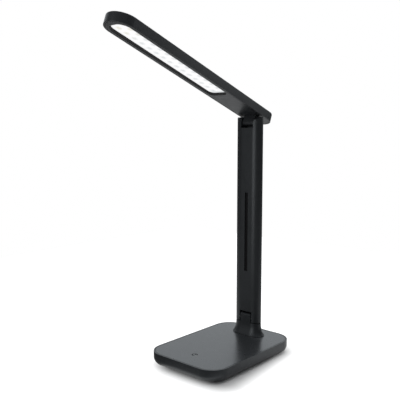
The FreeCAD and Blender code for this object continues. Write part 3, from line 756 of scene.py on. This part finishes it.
@dataclass
class BaseAssembly:
    """The base: a tub with a rubber pad below and an inset top plate with its mark."""

    wardrobe: Wardrobe
    foot: float = 0.001
    bottom_round: float = 0.0088
    rim: float = 0.0020
    rim_round: float = 0.0003
    rim_inner_round: float = 0.00015
    ledge: float = 0.0004
    seam: float = 0.0003
    floor_level: float = 0.0048
    plate_thick: float = 0.0022
    plate_round: float = 0.0002
    pad_half: Pair = (0.046, 0.0705)
    pad_corner: float = 0.015
    pad_top: float = 0.0016
    pad_gap: float = 0.00015
    pad_round: float = 0.0004
    pad_groove: Triple = (0.004, 0.0014, 0.0005)  # inset, inset of its far side, depth
    mouth: Pair = (0.0094, 0.0037)
    mouth_corner: float = 0.00165
    mouth_level: float = 0.01185
    mouth_depth: float = 0.01
    mouth_round: float = 0.0003
    mark_middle: Pair = (0.0, -0.051)
    mark_radius: float = 0.00365
    mark_stroke: float = 0.0011
    mark_depth: float = 0.00025
    mark_gap: float = math.radians(70.0)
    mark_room: float = 0.00003
    screw_hole: Triple = (0.011, 0.0546, 0.0017)

    def build(self) -> None:
        """Makes every piece of the base."""
        self.tub()
        self.top_plate()
        self.mark("power_mark").finish(Body.BASE, Slot.MARK, self.wardrobe, "touch_mark")
        self.pad()

    def tub(self) -> None:
        """The tub: round corners, a turned-in bottom, a rim with a ledge, and the inlet's mouth."""
        piece = Workpiece.drum("base_tub_moulding", (0.0, 0.0), BASE_HALF, BASE_CORNER,
                               (self.foot, BASE_TOP))
        piece.round_rim(self.foot, self.bottom_round, steps=10)
        piece.round_rim(BASE_TOP, self.rim_round, steps=3)
        pad_room = BASE_HALF[0] - self.bottom_round - self.pad_half[0] - self.pad_gap
        piece.sink(self.foot, -1, [(pad_room, self.pad_top - self.foot)])
        piece.sink(BASE_TOP, 1, [(self.rim - self.rim_round, -self.plate_thick),
                                 (self.ledge, self.floor_level - BASE_TOP + self.plate_thick)])
        wide, tall = (size / 2 for size in self.mouth)
        back, level = BASE_HALF[1], self.mouth_level
        tool = Workpiece.drum("tool", (0.0, 0.0), (wide, tall), self.mouth_corner,
                              (0.0, 2 * self.mouth_depth), sides=48)
        tool.tilt(math.pi / 2, (0.0, 0.0, 0.0))
        with tool.editing():
            bpy.ops.mesh.select_all(action="SELECT")
            bpy.ops.transform.translate(value=(0.0, back + self.mouth_depth, level))
        piece.combine(tool)
        piece.round_edges(lambda place, way: abs(place.y - back) < HAIR
                          and abs(place.x) < wide + SLACK and abs(place.z - level) < tall + SLACK,
                          self.mouth_round)
        straight = [size - BASE_CORNER for size in BASE_HALF]
        inside = BASE_CORNER - self.rim + SLACK
        at_top = piece.level_edge(BASE_TOP)
        piece.round_edges(lambda place, way: at_top(place, way) and math.hypot(
            *(max(abs(place[axis]) - straight[axis], 0.0) for axis in (0, 1))) < inside,
            self.rim_inner_round, steps=2)
        piece.finish(Body.BASE, Slot.BASE, self.wardrobe, "base_tub")

    def top_plate(self) -> None:
        """The top plate, inset in the rim, with the mark's pocket and the pedestal's holes."""
        shrink = self.rim + self.seam
        low = BASE_TOP - self.plate_thick
        piece = Workpiece.drum("top_plate_moulding", (0.0, 0.0),
                               [size - shrink for size in BASE_HALF], BASE_CORNER - shrink,
                               (low, BASE_TOP))
        piece.round_rim(BASE_TOP, self.plate_round, steps=2)
        piece.combine(self.mark("tool", self.mark_room))
        across, along, radius = self.screw_hole
        for x, y, size in (LEAD_HOLE, self.screw_hole, (-across, along, radius)):
            piece.bore((x, y, 0.0), size, (low - PAST, BASE_TOP + PAST), "Z", sides=32)
        piece.finish(Body.BASE, Slot.PLATE, self.wardrobe, "base_top_plate")

    def mark(self, name: str, room: float = 0.0) -> Workpiece:
        """The power mark: an open ring and a bar.

        Args:
            name: The piece's name.
            room: How much wider than the mark to make it, where it is a tool.

        Returns:
            The piece.
        """
        across, along = self.mark_middle
        low, top = BASE_TOP - self.mark_depth - room, BASE_TOP + (PAST if room else 0.0)
        half = self.mark_stroke / 2 + room
        middle = self.mark_radius - self.mark_stroke / 2
        opening = self.mark_gap - 2 * room / middle
        centre = (across, along, 0.0)
        piece = Workpiece.block(name, (across + middle - half, along - half, low),
                                (across + middle + half, along + half, top))
        with piece.editing():
            piece.pick(Part.FACE, lambda place, way: way.y < 0.5)
            bpy.ops.mesh.delete(type="FACE")
            bpy.ops.mesh.select_all(action="SELECT")
            bpy.ops.transform.translate(value=(0.0, -half, 0.0))
            bpy.ops.transform.rotate(value=(math.pi - opening) / 2, orient_axis="Z",
                                     center_override=centre)
            bpy.ops.mesh.spin(steps=48, angle=2 * math.pi - opening, center=centre,
                              axis=(0.0, 0.0, 1.0))
            bpy.ops.mesh.select_all(action="SELECT")
            bpy.ops.mesh.remove_doubles(threshold=piece.MERGE)
            bpy.ops.mesh.normals_make_consistent(inside=False)
        piece.cut((across - half, along - room, low),
                  (across + half, along + self.mark_radius + room, top), Cut.ADD)
        return piece

    def pad(self) -> None:
        """The rubber pad with a moulded groove round its underside."""
        piece = Workpiece.drum("pad_moulding", (0.0, 0.0), self.pad_half, self.pad_corner,
                               (0.0, self.pad_top))
        piece.round_rim(0.0, self.pad_round, steps=3)
        near, far, depth = self.pad_groove
        piece.sink(0.0, -1, [(near, depth), (far, -depth)])
        piece.finish(Body.BASE, Slot.PAD, self.wardrobe, "base_pad")


@dataclass(frozen=True)
class Oval:
    """The outline that pedestal and arm share: flat front and back, half ellipses at the sides."""

    middle: float = UPPER_HINGE[1]
    half: Pair = (0.01915, 0.007)
    corner: Pair = (0.012, 0.007)

    def drum(self, name: str, levels: Pair, growth: float = 0.0) -> Workpiece:
        """An upright piece between two levels with this outline, grown all round."""
        return Workpiece.drum(name, (0.0, self.middle), [size + growth for size in self.half],
                              [size + growth for size in self.corner], levels)


@dataclass
class Pedestal:
    """The flared foot of the arm, with its shoulders and the lower hinge's tongue."""

    wardrobe: Wardrobe
    oval: Oval = Oval()
    flange: float = 0.0045
    flange_top: float = 0.0178
    flange_edge: tuple[Pair, ...] = ((0.0, 0.00015), (0.0001, 0.00003))  # insets and drops
    flare: float = 0.0041
    flare_bend: float = 2.5
    flare_steps: int = 14
    shoulder: float = 0.033
    shoulder_edge: tuple[Pair, ...] = ((0.0, 0.0003), (0.0001, 0.0001), (0.0003, 0.0))
    tongue_half: float = 0.0080
    tongue_root: float = 0.001
    tongue_top: float = 0.0452
    tongue_round: float = 0.0025
    painted_shade_thick: float = 0.0002
    painted_shade_inset: float = 0.0007
    pin: float = 0.00165
    screw_hole: Triple = (0.011, 0.0546, 0.00132)
    screw_end: float = 0.0265

    def build(self) -> None:
        """Makes the pedestal and the matt black painted shade in its hinge's gaps."""
        profile = self.profile()
        piece = self.oval.drum("pedestal_moulding", (BASE_TOP, profile[0][1]), profile[0][0])
        straight = self.oval.half[0] - self.oval.corner[0]
        with piece.editing():
            for (growth, height), (next_growth, level) in zip(profile, profile[1:]):
                piece.pick(Part.FACE, piece.level_face(height, 1))
                bpy.ops.mesh.extrude_region_move(
                    TRANSFORM_OT_translate={"value": (0.0, 0.0, level - height)})
                ratio = [(size + next_growth) / (size + growth) for size in self.oval.corner]
                for side in (-1, 1):
                    piece.pick(Part.POINT, lambda place, way: side * place.x > 0
                               and abs(place.z - level) < piece.NEAR)
                    bpy.ops.transform.resize(
                        value=(*ratio, 1.0),
                        center_override=(side * straight, self.oval.middle, level))
        piece.combine(self.tongue(), Cut.ADD)
        piece.bore(LOWER_HINGE, self.pin, (-ASIDE, ASIDE), "X", sides=48)
        below = BASE_TOP - PAST
        across, along, radius = LEAD_HOLE
        piece.bore((across, along, 0.0), radius, (below, self.tongue_top + PAST), "Z", sides=32)
        across, along, radius = self.screw_hole
        for side in (-1, 1):
            piece.bore((side * across, along, 0.0), radius, (below, self.screw_end), "Z", sides=32)
        piece.finish(Body.BASE, Slot.BASE, self.wardrobe, "pedestal")
        self.hinge_lining()

    def profile(self) -> list[Pair]:
        """How far the pedestal stands out from the arm's outline, from the flange upwards.

        Returns:
            The growth and the height of each step.
        """
        rise = self.shoulder - self.flange_top
        shares = [step / self.flare_steps for step in range(self.flare_steps)]
        rows = [(self.flange - inset, self.flange_top - drop) for inset, drop in self.flange_edge]
        rows += [(self.flare * (1.0 - share) ** self.flare_bend, self.flange_top + share * rise)
                 for share in shares]
        return rows + [(-inset, self.shoulder - drop) for inset, drop in self.shoulder_edge]

    def hinge_lining(self) -> None:
        """Matt black sheets of painted shade in the hinge's gaps, on both shoulders and beside the
        tongue.
        """
        thick, inset, low = self.painted_shade_thick, self.painted_shade_inset, self.shoulder
        piece = self.oval.drum("hinge_lining", (low, low + thick), -inset)
        deep = self.oval.half[1] - inset
        front, back = self.oval.middle - deep, self.oval.middle + deep
        outer, inner = self.tongue_half + thick, self.tongue_half - thick
        piece.cut((-outer, front, low), (outer, back, self.tongue_top - self.tongue_round), Cut.ADD)
        piece.cut((-inner, front - PAST, low - PAST),
                  (inner, back + PAST, self.tongue_top + PAST))
        piece.bore(LOWER_HINGE, self.pin, (-ASIDE, ASIDE), "X", sides=48)
        piece.finish(Body.BASE, Slot.MARK, self.wardrobe)

    def tongue(self) -> Workpiece:
        """The tongue between the arm's lower ears.

        Returns:
            The piece.
        """
        half, middle, low, top = self.tongue_half, self.oval.middle, self.shoulder, self.tongue_top
        piece = self.oval.drum("tool", (low - self.tongue_root, top))
        piece.cut((-half, middle - PAST, low - PAST), (half, middle + PAST, top + PAST), Cut.KEEP)
        at_top = piece.level_edge(top)
        piece.round_edges(lambda place, way: at_top(place, way) and abs(way.x) > 0.5,
                          self.tongue_round, steps=6)
        return piece


@dataclass
class ArmAssembly:
    """The arm: a hollow housing with two pairs of ears, a lining of painted shade in its groove,
    and its rear cover.
    """

    wardrobe: Wardrobe
    oval: Oval = Oval()
    low: float = 0.0341
    high: float = 0.2991
    ear_gap: float = 0.0092
    ear_top: float = 0.048
    upper_ear: float = 0.2856
    lower_lip: Pair = (0.0578, 0.0458)  # Y and Z of the lip's edge
    upper_lip: Pair = (0.0581, 0.2886)
    lower_bore: Pair = (0.00162, 0.01354)  # radius and right end
    upper_bore: Pair = (0.00202, 0.0172)
    crown_gap: float = 0.00001
    relief: float = 0.005703
    toe_reach: float = 0.008
    lead_span: Pair = (0.04, 0.3)
    groove: Pair = (0.1013, 0.2033)
    groove_half: float = 0.0024
    groove_depth: float = 0.0012
    painted_shade_step: float = 0.0002
    painted_shade_thick: float = 0.0002
    split: float = 0.0566
    cover: Pair = (0.052, 0.2823)
    cavity: Pair = (0.057, 0.2773)
    wall: float = 0.0024
    seam: float = 0.00015
    screws: tuple[float, ...] = (0.073, 0.13577, 0.19853, 0.2613)
    counterbore: Pair = (0.0029, 0.00155)  # radius and depth
    screw_hole: float = 0.00132
    edge: float = 0.00022
    cover_edge: float = 0.0002

    def build(self) -> None:
        """Makes the housing, the groove's lining of painted shade and the rear cover."""
        self.housing()
        self.paint_groove_shade()
        self.rear_cover()

    def paint_groove_shade(self) -> None:
        """A matt lining of painted shade in the front groove: a thin tray that covers its floor and
        walls.
        """
        front = self.oval.middle - self.oval.half[1]
        low, high = self.groove
        piece = Workpiece.block("groove_lining", (-self.groove_half, front + self.painted_shade_step, low),
                                (self.groove_half, front + self.groove_depth, high))
        sink = self.groove_depth - self.painted_shade_step - self.painted_shade_thick
        with piece.editing():
            piece.pick(Part.FACE, lambda place, way: way.y < -piece.UPRIGHT)
            bpy.ops.mesh.inset(thickness=self.painted_shade_thick, depth=0.0)
            bpy.ops.mesh.extrude_region_move(TRANSFORM_OT_translate={"value": (0.0, sink, 0.0)})
        piece.finish(Body.ARM, Slot.MARK, self.wardrobe)

    def hollow(self) -> Workpiece:
        """The room inside the arm, as a tool."""
        return self.oval.drum("tool", self.cavity, -self.wall)

    def around(self, pivot: Point, radius: float, low: Point, high: Point) -> Workpiece:
        """A tool that rounds an end about a hinge.

        Args:
            pivot: A point on the hinge's axis.
            radius: The radius that stays.
            low: The lowest corner of what is rounded.
            high: Its highest corner.

        Returns:
            The tool.
        """
        tool = Workpiece.block("tool", low, high)
        tool.bore(pivot, radius, (-ASIDE - PAST, ASIDE + PAST), "X", sides=128)
        return tool

    def housing(self) -> None:
        """Front and sides: round top, relieved lower ears, front groove, hinge bores."""
        middle, half, gap = self.oval.middle, self.oval.half[1], self.ear_gap
        front, back = middle - 2 * PAST, middle + 2 * PAST
        low, high = self.low - PAST, self.high + PAST
        piece = self.oval.drum("arm_moulding", (self.low, self.high))
        level = UPPER_HINGE[2]
        piece.combine(self.around(UPPER_HINGE, half + self.crown_gap,
                                  (-ASIDE, middle - PAST, level),
                                  (ASIDE, middle + PAST, level + 2 * PAST)))
        _, toe, level = LOWER_HINGE
        piece.combine(self.around(LOWER_HINGE, self.relief,
                                  (-ASIDE, middle - self.toe_reach, level - self.toe_reach),
                                  (ASIDE, toe, level)))
        for end, bottom, top in ((self.lower_lip[0], low, self.ear_top),
                                 (back, low, self.lower_lip[1]),
                                 (self.upper_lip[0], self.upper_ear, high),
                                 (back, self.upper_lip[1], high)):
            piece.cut((-gap, front, bottom), (gap, end, top))
        face = middle - half
        piece.cut((-self.groove_half, face - PAST, self.groove[0]),
                  (self.groove_half, face + self.groove_depth, self.groove[1]))
        piece.cut((-ASIDE, self.split, self.cover[0]), (ASIDE, back, self.cover[1]))
        piece.combine(self.hollow())
        for hinge, (radius, end) in ((LOWER_HINGE, self.lower_bore),
                                     (UPPER_HINGE, self.upper_bore)):
            piece.bore(hinge, radius, (-ASIDE, end), "X", sides=48)
        across, along, radius = LEAD_HOLE
        piece.bore((across, along, 0.0), radius, self.lead_span, "Z", sides=32)
        piece.soften(self.edge)
        piece.finish(Body.ARM, Slot.ARM, self.wardrobe, "arm_housing")

    def rear_cover(self) -> None:
        """The rear cover, set in the housing by a fine seam, with counterbored screw holes."""
        low, high = self.cover[0] + self.seam, self.cover[1] - self.seam
        middle = self.oval.middle
        piece = self.oval.drum("rear_cover_moulding", (low, high))
        piece.cut((-ASIDE, middle - 2 * PAST, low - PAST),
                  (ASIDE, self.split + self.seam, high + PAST))
        piece.combine(self.hollow())
        back = middle + self.oval.half[1]
        radius, depth = self.counterbore
        for height in self.screws:
            place = (0.0, 0.0, height)
            piece.bore(place, radius, (back - depth, back + PAST), "Y", sides=48)
            piece.bore(place, self.screw_hole, (middle, back + PAST), "Y", sides=32)
        piece.soften(self.cover_edge)
        piece.finish(Body.ARM, Slot.ARM, self.wardrobe, "arm_rear_cover")


@dataclass
class HeadAssembly:
    """The head: shell, bezel, light panel and knuckle, modelled level and then tilted."""

    wardrobe: Wardrobe
    middle: float = -0.05545
    half: Pair = (0.01845, 0.13855)
    low: float = 0.3003
    high: float = 0.3109
    top_round: float = 0.0008
    lip_round: float = 0.0004
    wall: float = 0.0018
    bezel_top: float = 0.3028
    bezel_gap: float = 0.00015
    bezel_round: float = 0.0003
    window_corner: float = 0.0065
    window_tip_corner: float = 0.0115
    window_tip_margin: float = 0.0010
    window_round: float = 0.0008
    painted_shade_levels: Pair = (0.3007, 0.3035)
    painted_shade_thick: float = 0.0004
    panel_lap: float = 0.0014
    panel_dish: float = 0.0008
    panel_top: float = 0.3043
    panel_round: float = 0.0002
    slot_half: Pair = (0.00885, 0.00535)
    barrel: Pair = (0.0044, 0.0087)  # radius and half length
    neck_lap: float = 0.0005
    flange_half: Pair = (0.014, 0.015)
    flange_corner: float = 0.004
    flange_thick: float = 0.002
    pin: float = 0.00205
    edge: float = 0.0002

    def build(self) -> None:
        """Makes every piece of the head."""
        self.shell()
        self.bezel()
        self.window_lining()
        self.panel()
        self.knuckle()

    def hand_in(self, piece: Workpiece, slot: Slot, *nodes: str) -> None:
        """Turns a level piece to the head's photographed tilt and finishes it."""
        piece.tilt(-HEAD_LIFT, UPPER_HINGE)
        piece.finish(Body.HEAD, slot, self.wardrobe, *nodes)

    def shell(self) -> None:
        """The shell: one long lid with round ends."""
        piece = Workpiece.drum("head_shell_moulding", (0.0, self.middle), self.half, self.half[0],
                               (self.low, self.high), sides=128)
        piece.round_rim(self.high, self.top_round, steps=5)
        piece.sink(self.low, -1, [(self.wall, self.high - self.wall - self.low)])
        piece.round_rim(self.low, self.lip_round, steps=3)
        self.hand_in(piece, Slot.HEAD, "head_shell")

    def bezel(self) -> None:
        """The underside cover with the light's window and the knuckle's slot."""
        half = [size - self.wall - self.bezel_gap for size in self.half]
        piece = Workpiece.drum("bezel_moulding", (0.0, self.middle), half, half[0],
                               (self.low, self.bezel_top), sides=128)
        piece.round_rim(self.low, self.bezel_round, steps=2)
        low, high = self.low - PAST, self.bezel_top + PAST
        piece.combine(self.opening("tool", 0.0, (low, high)))
        across, along = self.slot_half
        back = UPPER_HINGE[1]
        piece.cut((-across, back - along, low), (across, back + along, high))
        wide, deep = (size + HAIR for size in WINDOW_HALF)
        piece.round_edges(lambda place, way: abs(place.z - self.low) < piece.NEAR
                          and abs(place.x) < wide and abs(place.y - WINDOW_MIDDLE) < deep,
                          self.window_round, steps=4)
        self.hand_in(piece, Slot.HEAD, "head_bezel")

    def opening(self, name: str, inset: float, levels: Pair) -> Workpiece:
        """A piece with the window's outline, rounder at the tip than at the rear.

        Args:
            name: The piece's name.
            inset: How much smaller than the window it is all round.
            levels: Heights of its underside and top.

        Returns:
            The piece.
        """
        wide, deep = (size - inset for size in WINDOW_HALF)
        rear = WINDOW_MIDDLE + deep
        front = WINDOW_MIDDLE - deep + self.window_tip_margin
        halfway = (front + rear) / 2
        square, rounded = (size - inset for size in (self.window_corner, self.window_tip_corner))
        reach = halfway + 2 * rounded
        piece = Workpiece.drum(name, (0.0, (halfway + rear) / 2), (wide, (rear - halfway) / 2),
                               square, levels, sides=64)
        tip = Workpiece.drum("tool", (0.0, (front + reach) / 2), (wide, (reach - front) / 2),
                             rounded, levels, sides=64)
        piece.combine(tip, Cut.ADD)
        return piece

    def window_lining(self) -> None:
        """A dark lining of painted shade on the window's wall, which is dark only in its own
        shadow.
        """
        low, high = self.painted_shade_levels
        piece = self.opening("window_lining", 0.0, self.painted_shade_levels)
        piece.combine(self.opening("tool", self.painted_shade_thick, (low - PAST, high + PAST)))
        self.hand_in(piece, Slot.PAD)

    def panel(self) -> None:
        """The frosted light panel above the window, dished so that it lies deeper than its edge."""
        lap, low, high = self.panel_lap, self.bezel_top, self.panel_top
        piece = Workpiece.drum("light_panel", (0.0, WINDOW_MIDDLE),
                               [size + lap for size in WINDOW_HALF], self.window_corner + lap,
                               (low, high), sides=64)
        for height in (low, high):
            piece.round_rim(height, self.panel_round, steps=2)
        piece.sink(low, -1, [(lap / 2, self.panel_dish)])
        self.hand_in(piece, Slot.PANEL, "diffuser")

    def knuckle(self) -> None:
        """The upper hinge's knuckle: barrel, neck and the flange inside the head."""
        _, back, level = UPPER_HINGE
        radius, half = self.barrel
        seat = self.bezel_top + self.bezel_gap
        piece = Workpiece.rod("knuckle_moulding", UPPER_HINGE, radius, (-half, half), "X", sides=96)
        piece.cut((-half, back - radius, level), (half, back + radius, seat + self.neck_lap),
                  Cut.ADD)
        flange = Workpiece.drum("tool", (0.0, back), self.flange_half, self.flange_corner,
                                (seat, seat + self.flange_thick), sides=48)
        piece.combine(flange, Cut.ADD)
        piece.bore(UPPER_HINGE, self.pin, (-ASIDE, ASIDE), "X", sides=48)
        piece.soften(self.edge)
        self.hand_in(piece, Slot.HEAD, "head_knuckle")


@dataclass(frozen=True)
class Softbox:
    """A rectangular studio light."""

    name: str
    place: Point
    aim: Point
    size: Pair
    radiance: float

    def light(self) -> None:
        """Hangs the light, aimed at its point."""
        lamp = bpy.data.lights.new(self.name, "AREA")
        lamp.shape = "RECTANGLE"
        lamp.size, lamp.size_y = self.size
        lamp.energy = self.radiance * math.pi * self.size[0] * self.size[1]
        stand = bpy.data.objects.new(self.name, lamp)
        bpy.context.scene.collection.objects.link(stand)
        stand.location = self.place
        aim = Vector(self.aim) - Vector(self.place)
        stand.rotation_euler = aim.to_track_quat("-Z", "Y").to_euler()
        stand.visible_camera = False


@dataclass
class Studio:
    """Floor, surroundings, lights and camera."""

    eye: Point = (0.45506, -0.55382, 0.27634)
    heading: float = 41.57
    dip: float = 6.31
    lens: float = 53.207
    sensor: float = 36.0
    half_pixel: float = 0.00125
    clip: Pair = (0.01, 200.0)
    floor_side: float = 1.5
    paper: tuple[Colour, Colour] = ((0.45, 0.45, 0.45), (0.46, 0.46, 0.46))
    # Painted shadow: the floor's white emission fades in round the base, its outline shifted and
    # skewed to shape the shadow.
    painted_shadow_shift: Pair = (0.007, 0.001)
    painted_shadow_skew: float = -0.13
    painted_shadow_fade: Pair = (-0.013, 0.021)
    whiteness: float = 0.85
    # Painted light in reflections: glossy-only floor emission that grows from the front of the base
    # to its back.
    painted_light_share: Pair = (0.0, 0.55)
    painted_light_depth: Pair = (-0.05, 0.07)
    mirror_fade: Pair = (0.05, 0.2)
    mirror_far: float = 0.15
    front_edge: Pair = (-0.05, -0.07)
    # Painted shade in reflections: a dark floor colour in front of the base that only glossy rays
    # see.
    painted_shade_fade: Pair = (0.01, 0.035)
    painted_shade_colour: Colour = (0.11, 0.11, 0.11)
    # Painted light in reflections: glossy-only emission just under the base's front edge, which
    # lights its rounded bottom.
    painted_glow_fade: Pair = (0.012, 0.0)
    painted_glow_share: Pair = (0.0, 2.4)
    backdrop: Point = (-0.664, 0.748, 0.0)
    backdrop_edge: Pair = (0.2, 0.75)
    backdrop_rise: Pair = (0.02, 0.26)
    backdrop_colour: Colour = (0.93, 0.97, 1.0)
    ceiling_rise: Pair = (0.45, 0.9)
    ceiling: float = 0.35
    fill: float = 0.55
    gloom: float = 0.06
    fill_colour: Colour = (0.96, 0.98, 1.0)
    boxes: tuple[Softbox, ...] = (
        Softbox("top_box", (0.05, 0.30, 1.25), (0.0, 0.0, 0.1), (1.3, 1.3), 1.8),
        Softbox("front_strip", (-0.36, -1.25, 0.45), (0.0, 0.0, 0.18), (0.32, 1.1), 3.3),
        Softbox("rear_box", (0.5, 1.08, 0.8), (0.0, 0.0, 0.25), (1.0, 0.9), 0.85))

    def camera(self) -> None:
        """Stands the camera where the photograph was taken from."""
        data = bpy.data.cameras.new("camera")
        data.lens = self.lens
        data.sensor_width = self.sensor
        data.shift_x, data.shift_y = -self.half_pixel, self.half_pixel
        data.clip_start, data.clip_end = self.clip
        camera = bpy.data.objects.new("camera", data)
        bpy.context.scene.collection.objects.link(camera)
        camera.location = self.eye
        camera.rotation_euler = (math.radians(90.0 - self.dip), 0.0, math.radians(self.heading))
        bpy.context.scene.camera = camera

    def floor(self) -> None:
        """Lays a pale floor that keeps the lamp's shadow, with white emission that fades in away
        from the base and so paints the shape of that shadow.

        Mirrored, it shows painted shade in front of the base, painted light under its front edge
        and paler painted light behind.
        """
        bpy.ops.object.select_all(action="DESELECT")
        bpy.ops.mesh.primitive_plane_add(size=self.floor_side)
        floor = bpy.context.active_object
        floor.name = "floor"
        graph = Graph("floor_paper")
        own = graph.coordinates()
        across, along, _ = graph.axes(own)
        path = graph.node("LightPath").outputs
        away = self.from_base(graph, across, along)
        front = graph.span(along, self.front_edge, smooth=True)
        fibre = graph.noise(own, scale=60.0, detail=4.0, between=(0.3, 0.7))
        # Painted shade: the floor turns dark in front of the base, for glossy rays only.
        painted_shade_mask = graph.calc("MULTIPLY", graph.span(away, self.painted_shade_fade, smooth=True), front)
        painted_shade_mask = graph.calc("MULTIPLY", painted_shade_mask, path["Is Glossy Ray"])
        # Painted light: emission under the base's front edge that only glossy rays see.
        glow = graph.span(away, self.painted_glow_fade, self.painted_glow_share, smooth=True)
        # Painted light: glossy-only emission, paler towards the back of the base.
        behind = graph.span(along, self.painted_light_depth, self.painted_light_share, smooth=True)
        near = graph.calc("ADD", behind, graph.calc("MULTIPLY", glow, front))
        far = graph.span(away, self.mirror_fade, smooth=True)
        share = graph.node("Mix", {"Factor": far, "A": near, "B": self.mirror_far})
        mirrored = graph.calc("MULTIPLY", path["Is Glossy Ray"], share.outputs["Result"])
        seen = graph.calc("ADD", path["Is Camera Ray"], path["Is Transmission Ray"])
        # Painted shadow: less white emission near the base paints the shape of its shadow.
        white = graph.span(away, self.painted_shadow_fade, (0.0, self.whiteness), smooth=True)
        light = graph.calc("MULTIPLY", white, graph.calc("ADD", seen, mirrored))
        colour = graph.mix(painted_shade_mask, graph.mix(fibre, *self.paper), self.painted_shade_colour)
        graph.feed(Base_Color=colour, Roughness=0.95, Specular_IOR_Level=0.05,
                   Emission_Color=WHITE, Emission_Strength=light)
        floor.data.materials.append(graph.material)

    def from_base(self, graph: Graph, across: Socket, along: Socket) -> Socket:
        """Distance on the floor from the base's outline, shifted and skewed to paint the shape of
        the base's shadow.

        Args:
            graph: The floor's nodes.
            across: The floor's X.
            along: The floor's Y.

        Returns:
            The distance in metres.
        """
        across = graph.calc("SUBTRACT", across, graph.calc("MULTIPLY", along, self.painted_shadow_skew))
        beyond = []
        for place, half, shift in zip((across, along), BASE_HALF, self.painted_shadow_shift):
            offset = graph.calc("ABSOLUTE", graph.calc("SUBTRACT", place, shift))
            offset = graph.calc("SUBTRACT", offset, half - BASE_CORNER)
            beyond.append(graph.calc("MAXIMUM", offset, 0.0))
        return graph.calc("SUBTRACT", graph.reach(*beyond), BASE_CORNER)

    def surroundings(self) -> None:
        """White where seen, a white backdrop where mirrored, and dim soft light elsewhere."""
        world = bpy.data.worlds.new("studio")
        bpy.context.scene.world = world
        world.use_nodes = True
        nodes = Nodes(world.node_tree)
        direction = nodes.node("TexCoord").outputs["Generated"]
        height = nodes.axes(direction)[2]
        path = nodes.node("LightPath").outputs
        behind = nodes.measure("DOT_PRODUCT", direction, self.backdrop)
        white = nodes.calc("MULTIPLY", nodes.span(behind, self.backdrop_edge, smooth=True),
                           nodes.span(height, self.backdrop_rise, smooth=True))
        above = nodes.span(height, self.ceiling_rise, (0.0, self.ceiling), smooth=True)
        white = nodes.calc("MAXIMUM", white, above)
        mirrored = nodes.calc("MAXIMUM", path["Is Glossy Ray"], path["Is Transmission Ray"])
        shown = nodes.calc("MULTIPLY", mirrored, white)
        shown = nodes.calc("MAXIMUM", shown, path["Is Camera Ray"])
        soft = nodes.span(mirrored, (0.0, 1.0), (self.fill, self.gloom))
        tone = nodes.mix(path["Is Camera Ray"], self.backdrop_colour, WHITE)
        dim = nodes.node("Background", {"Color": self.fill_colour, "Strength": soft})
        bright = nodes.node("Background", {"Color": tone, "Strength": 1.0})
        choice = nodes.node("MixShader", {0: shown, 1: dim.outputs[0], 2: bright.outputs[0]})
        nodes.node("OutputWorld", {"Surface": choice.outputs[0]})

    def set_up(self) -> None:
        """Readies the whole studio."""
        bpy.context.scene.view_settings.view_transform = "Standard"
        self.camera()
        self.floor()
        self.surroundings()
        for box in self.boxes:
            box.light()


def finishes() -> dict[Slot, Finish]:
    """The lamp's finishes.

    Returns:
        A finish for each slot.
    """
    return {
        Slot.BASE: MouldedPlastic("base_satin", (0.0125, 0.0136, 0.0152),
                                  (0.0150, 0.0162, 0.0180), (0.32, 0.40)),
        Slot.PLATE: MouldedPlastic("plate_satin", (0.0130, 0.0141, 0.0158),
                                   (0.0152, 0.0164, 0.0182), (0.27, 0.30),
                                   grain=0.00022, depth=0.000002, specular=0.8),
        Slot.MARK: PrintedInk("mark_ink", (0.004, 0.004, 0.0045), (0.008, 0.008, 0.009)),
        Slot.ARM: MouldedPlastic("arm_satin", (0.0125, 0.0135, 0.0148),
                                 (0.0148, 0.0159, 0.0174), (0.32, 0.40)),
        Slot.HEAD: MouldedPlastic("head_satin", (0.0130, 0.0140, 0.0154),
                                  (0.0154, 0.0166, 0.0181), (0.31, 0.39)),
        Slot.PANEL: LightPanel("frosted_panel", WHITE, (0.66, 0.68, 0.69), (0.76, 0.73, 0.60)),
        Slot.LAMPS: Phosphor("lamp_phosphor", (0.85, 0.70, 0.25), (0.95, 0.86, 0.45)),
        Slot.LAMP_BOARD: Laminate("lamp_board", (0.82, 0.82, 0.81), (0.70, 0.70, 0.69)),
        Slot.BOARD: Laminate("control_laminate", (0.018, 0.12, 0.05), (0.03, 0.18, 0.075)),
        Slot.CONTACT: Rubber("contact_foam", (0.26, 0.26, 0.27), (0.36, 0.36, 0.37), 0.0006),
        Slot.PAD: Rubber("pad_rubber", (0.014, 0.014, 0.014), (0.03, 0.03, 0.03), 0.0005),
        Slot.WEIGHT: Plated("weight_zinc", (0.42, 0.42, 0.43), (0.56, 0.56, 0.57), (0.32, 0.48)),
        Slot.SCREW: Plated("screw_zinc", (0.5, 0.5, 0.51), (0.62, 0.62, 0.63), (0.22, 0.34)),
        Slot.BLACK_SCREW: Plated("screw_oxide", (0.035, 0.035, 0.038), (0.06, 0.06, 0.064),
                                 (0.35, 0.5)),
        Slot.SOCKET: Plated("socket_nickel", (0.62, 0.62, 0.63), (0.75, 0.75, 0.76), (0.16, 0.26)),
        Slot.LEAD: Rubber("lead_sheath", (0.05, 0.05, 0.054), (0.09, 0.09, 0.095), 0.0004),
    }


def main() -> None:
    """Dresses the frame, builds the visible pieces and sets up the studio."""
    logging.basicConfig(level=logging.INFO)
    wardrobe = Wardrobe(finishes())
    wardrobe.dress_frame()
    for assembly in (BaseAssembly, Pedestal, ArmAssembly, HeadAssembly):
        assembly(wardrobe).build()
    Studio().set_up()


if __name__ == "__main__":
    main()
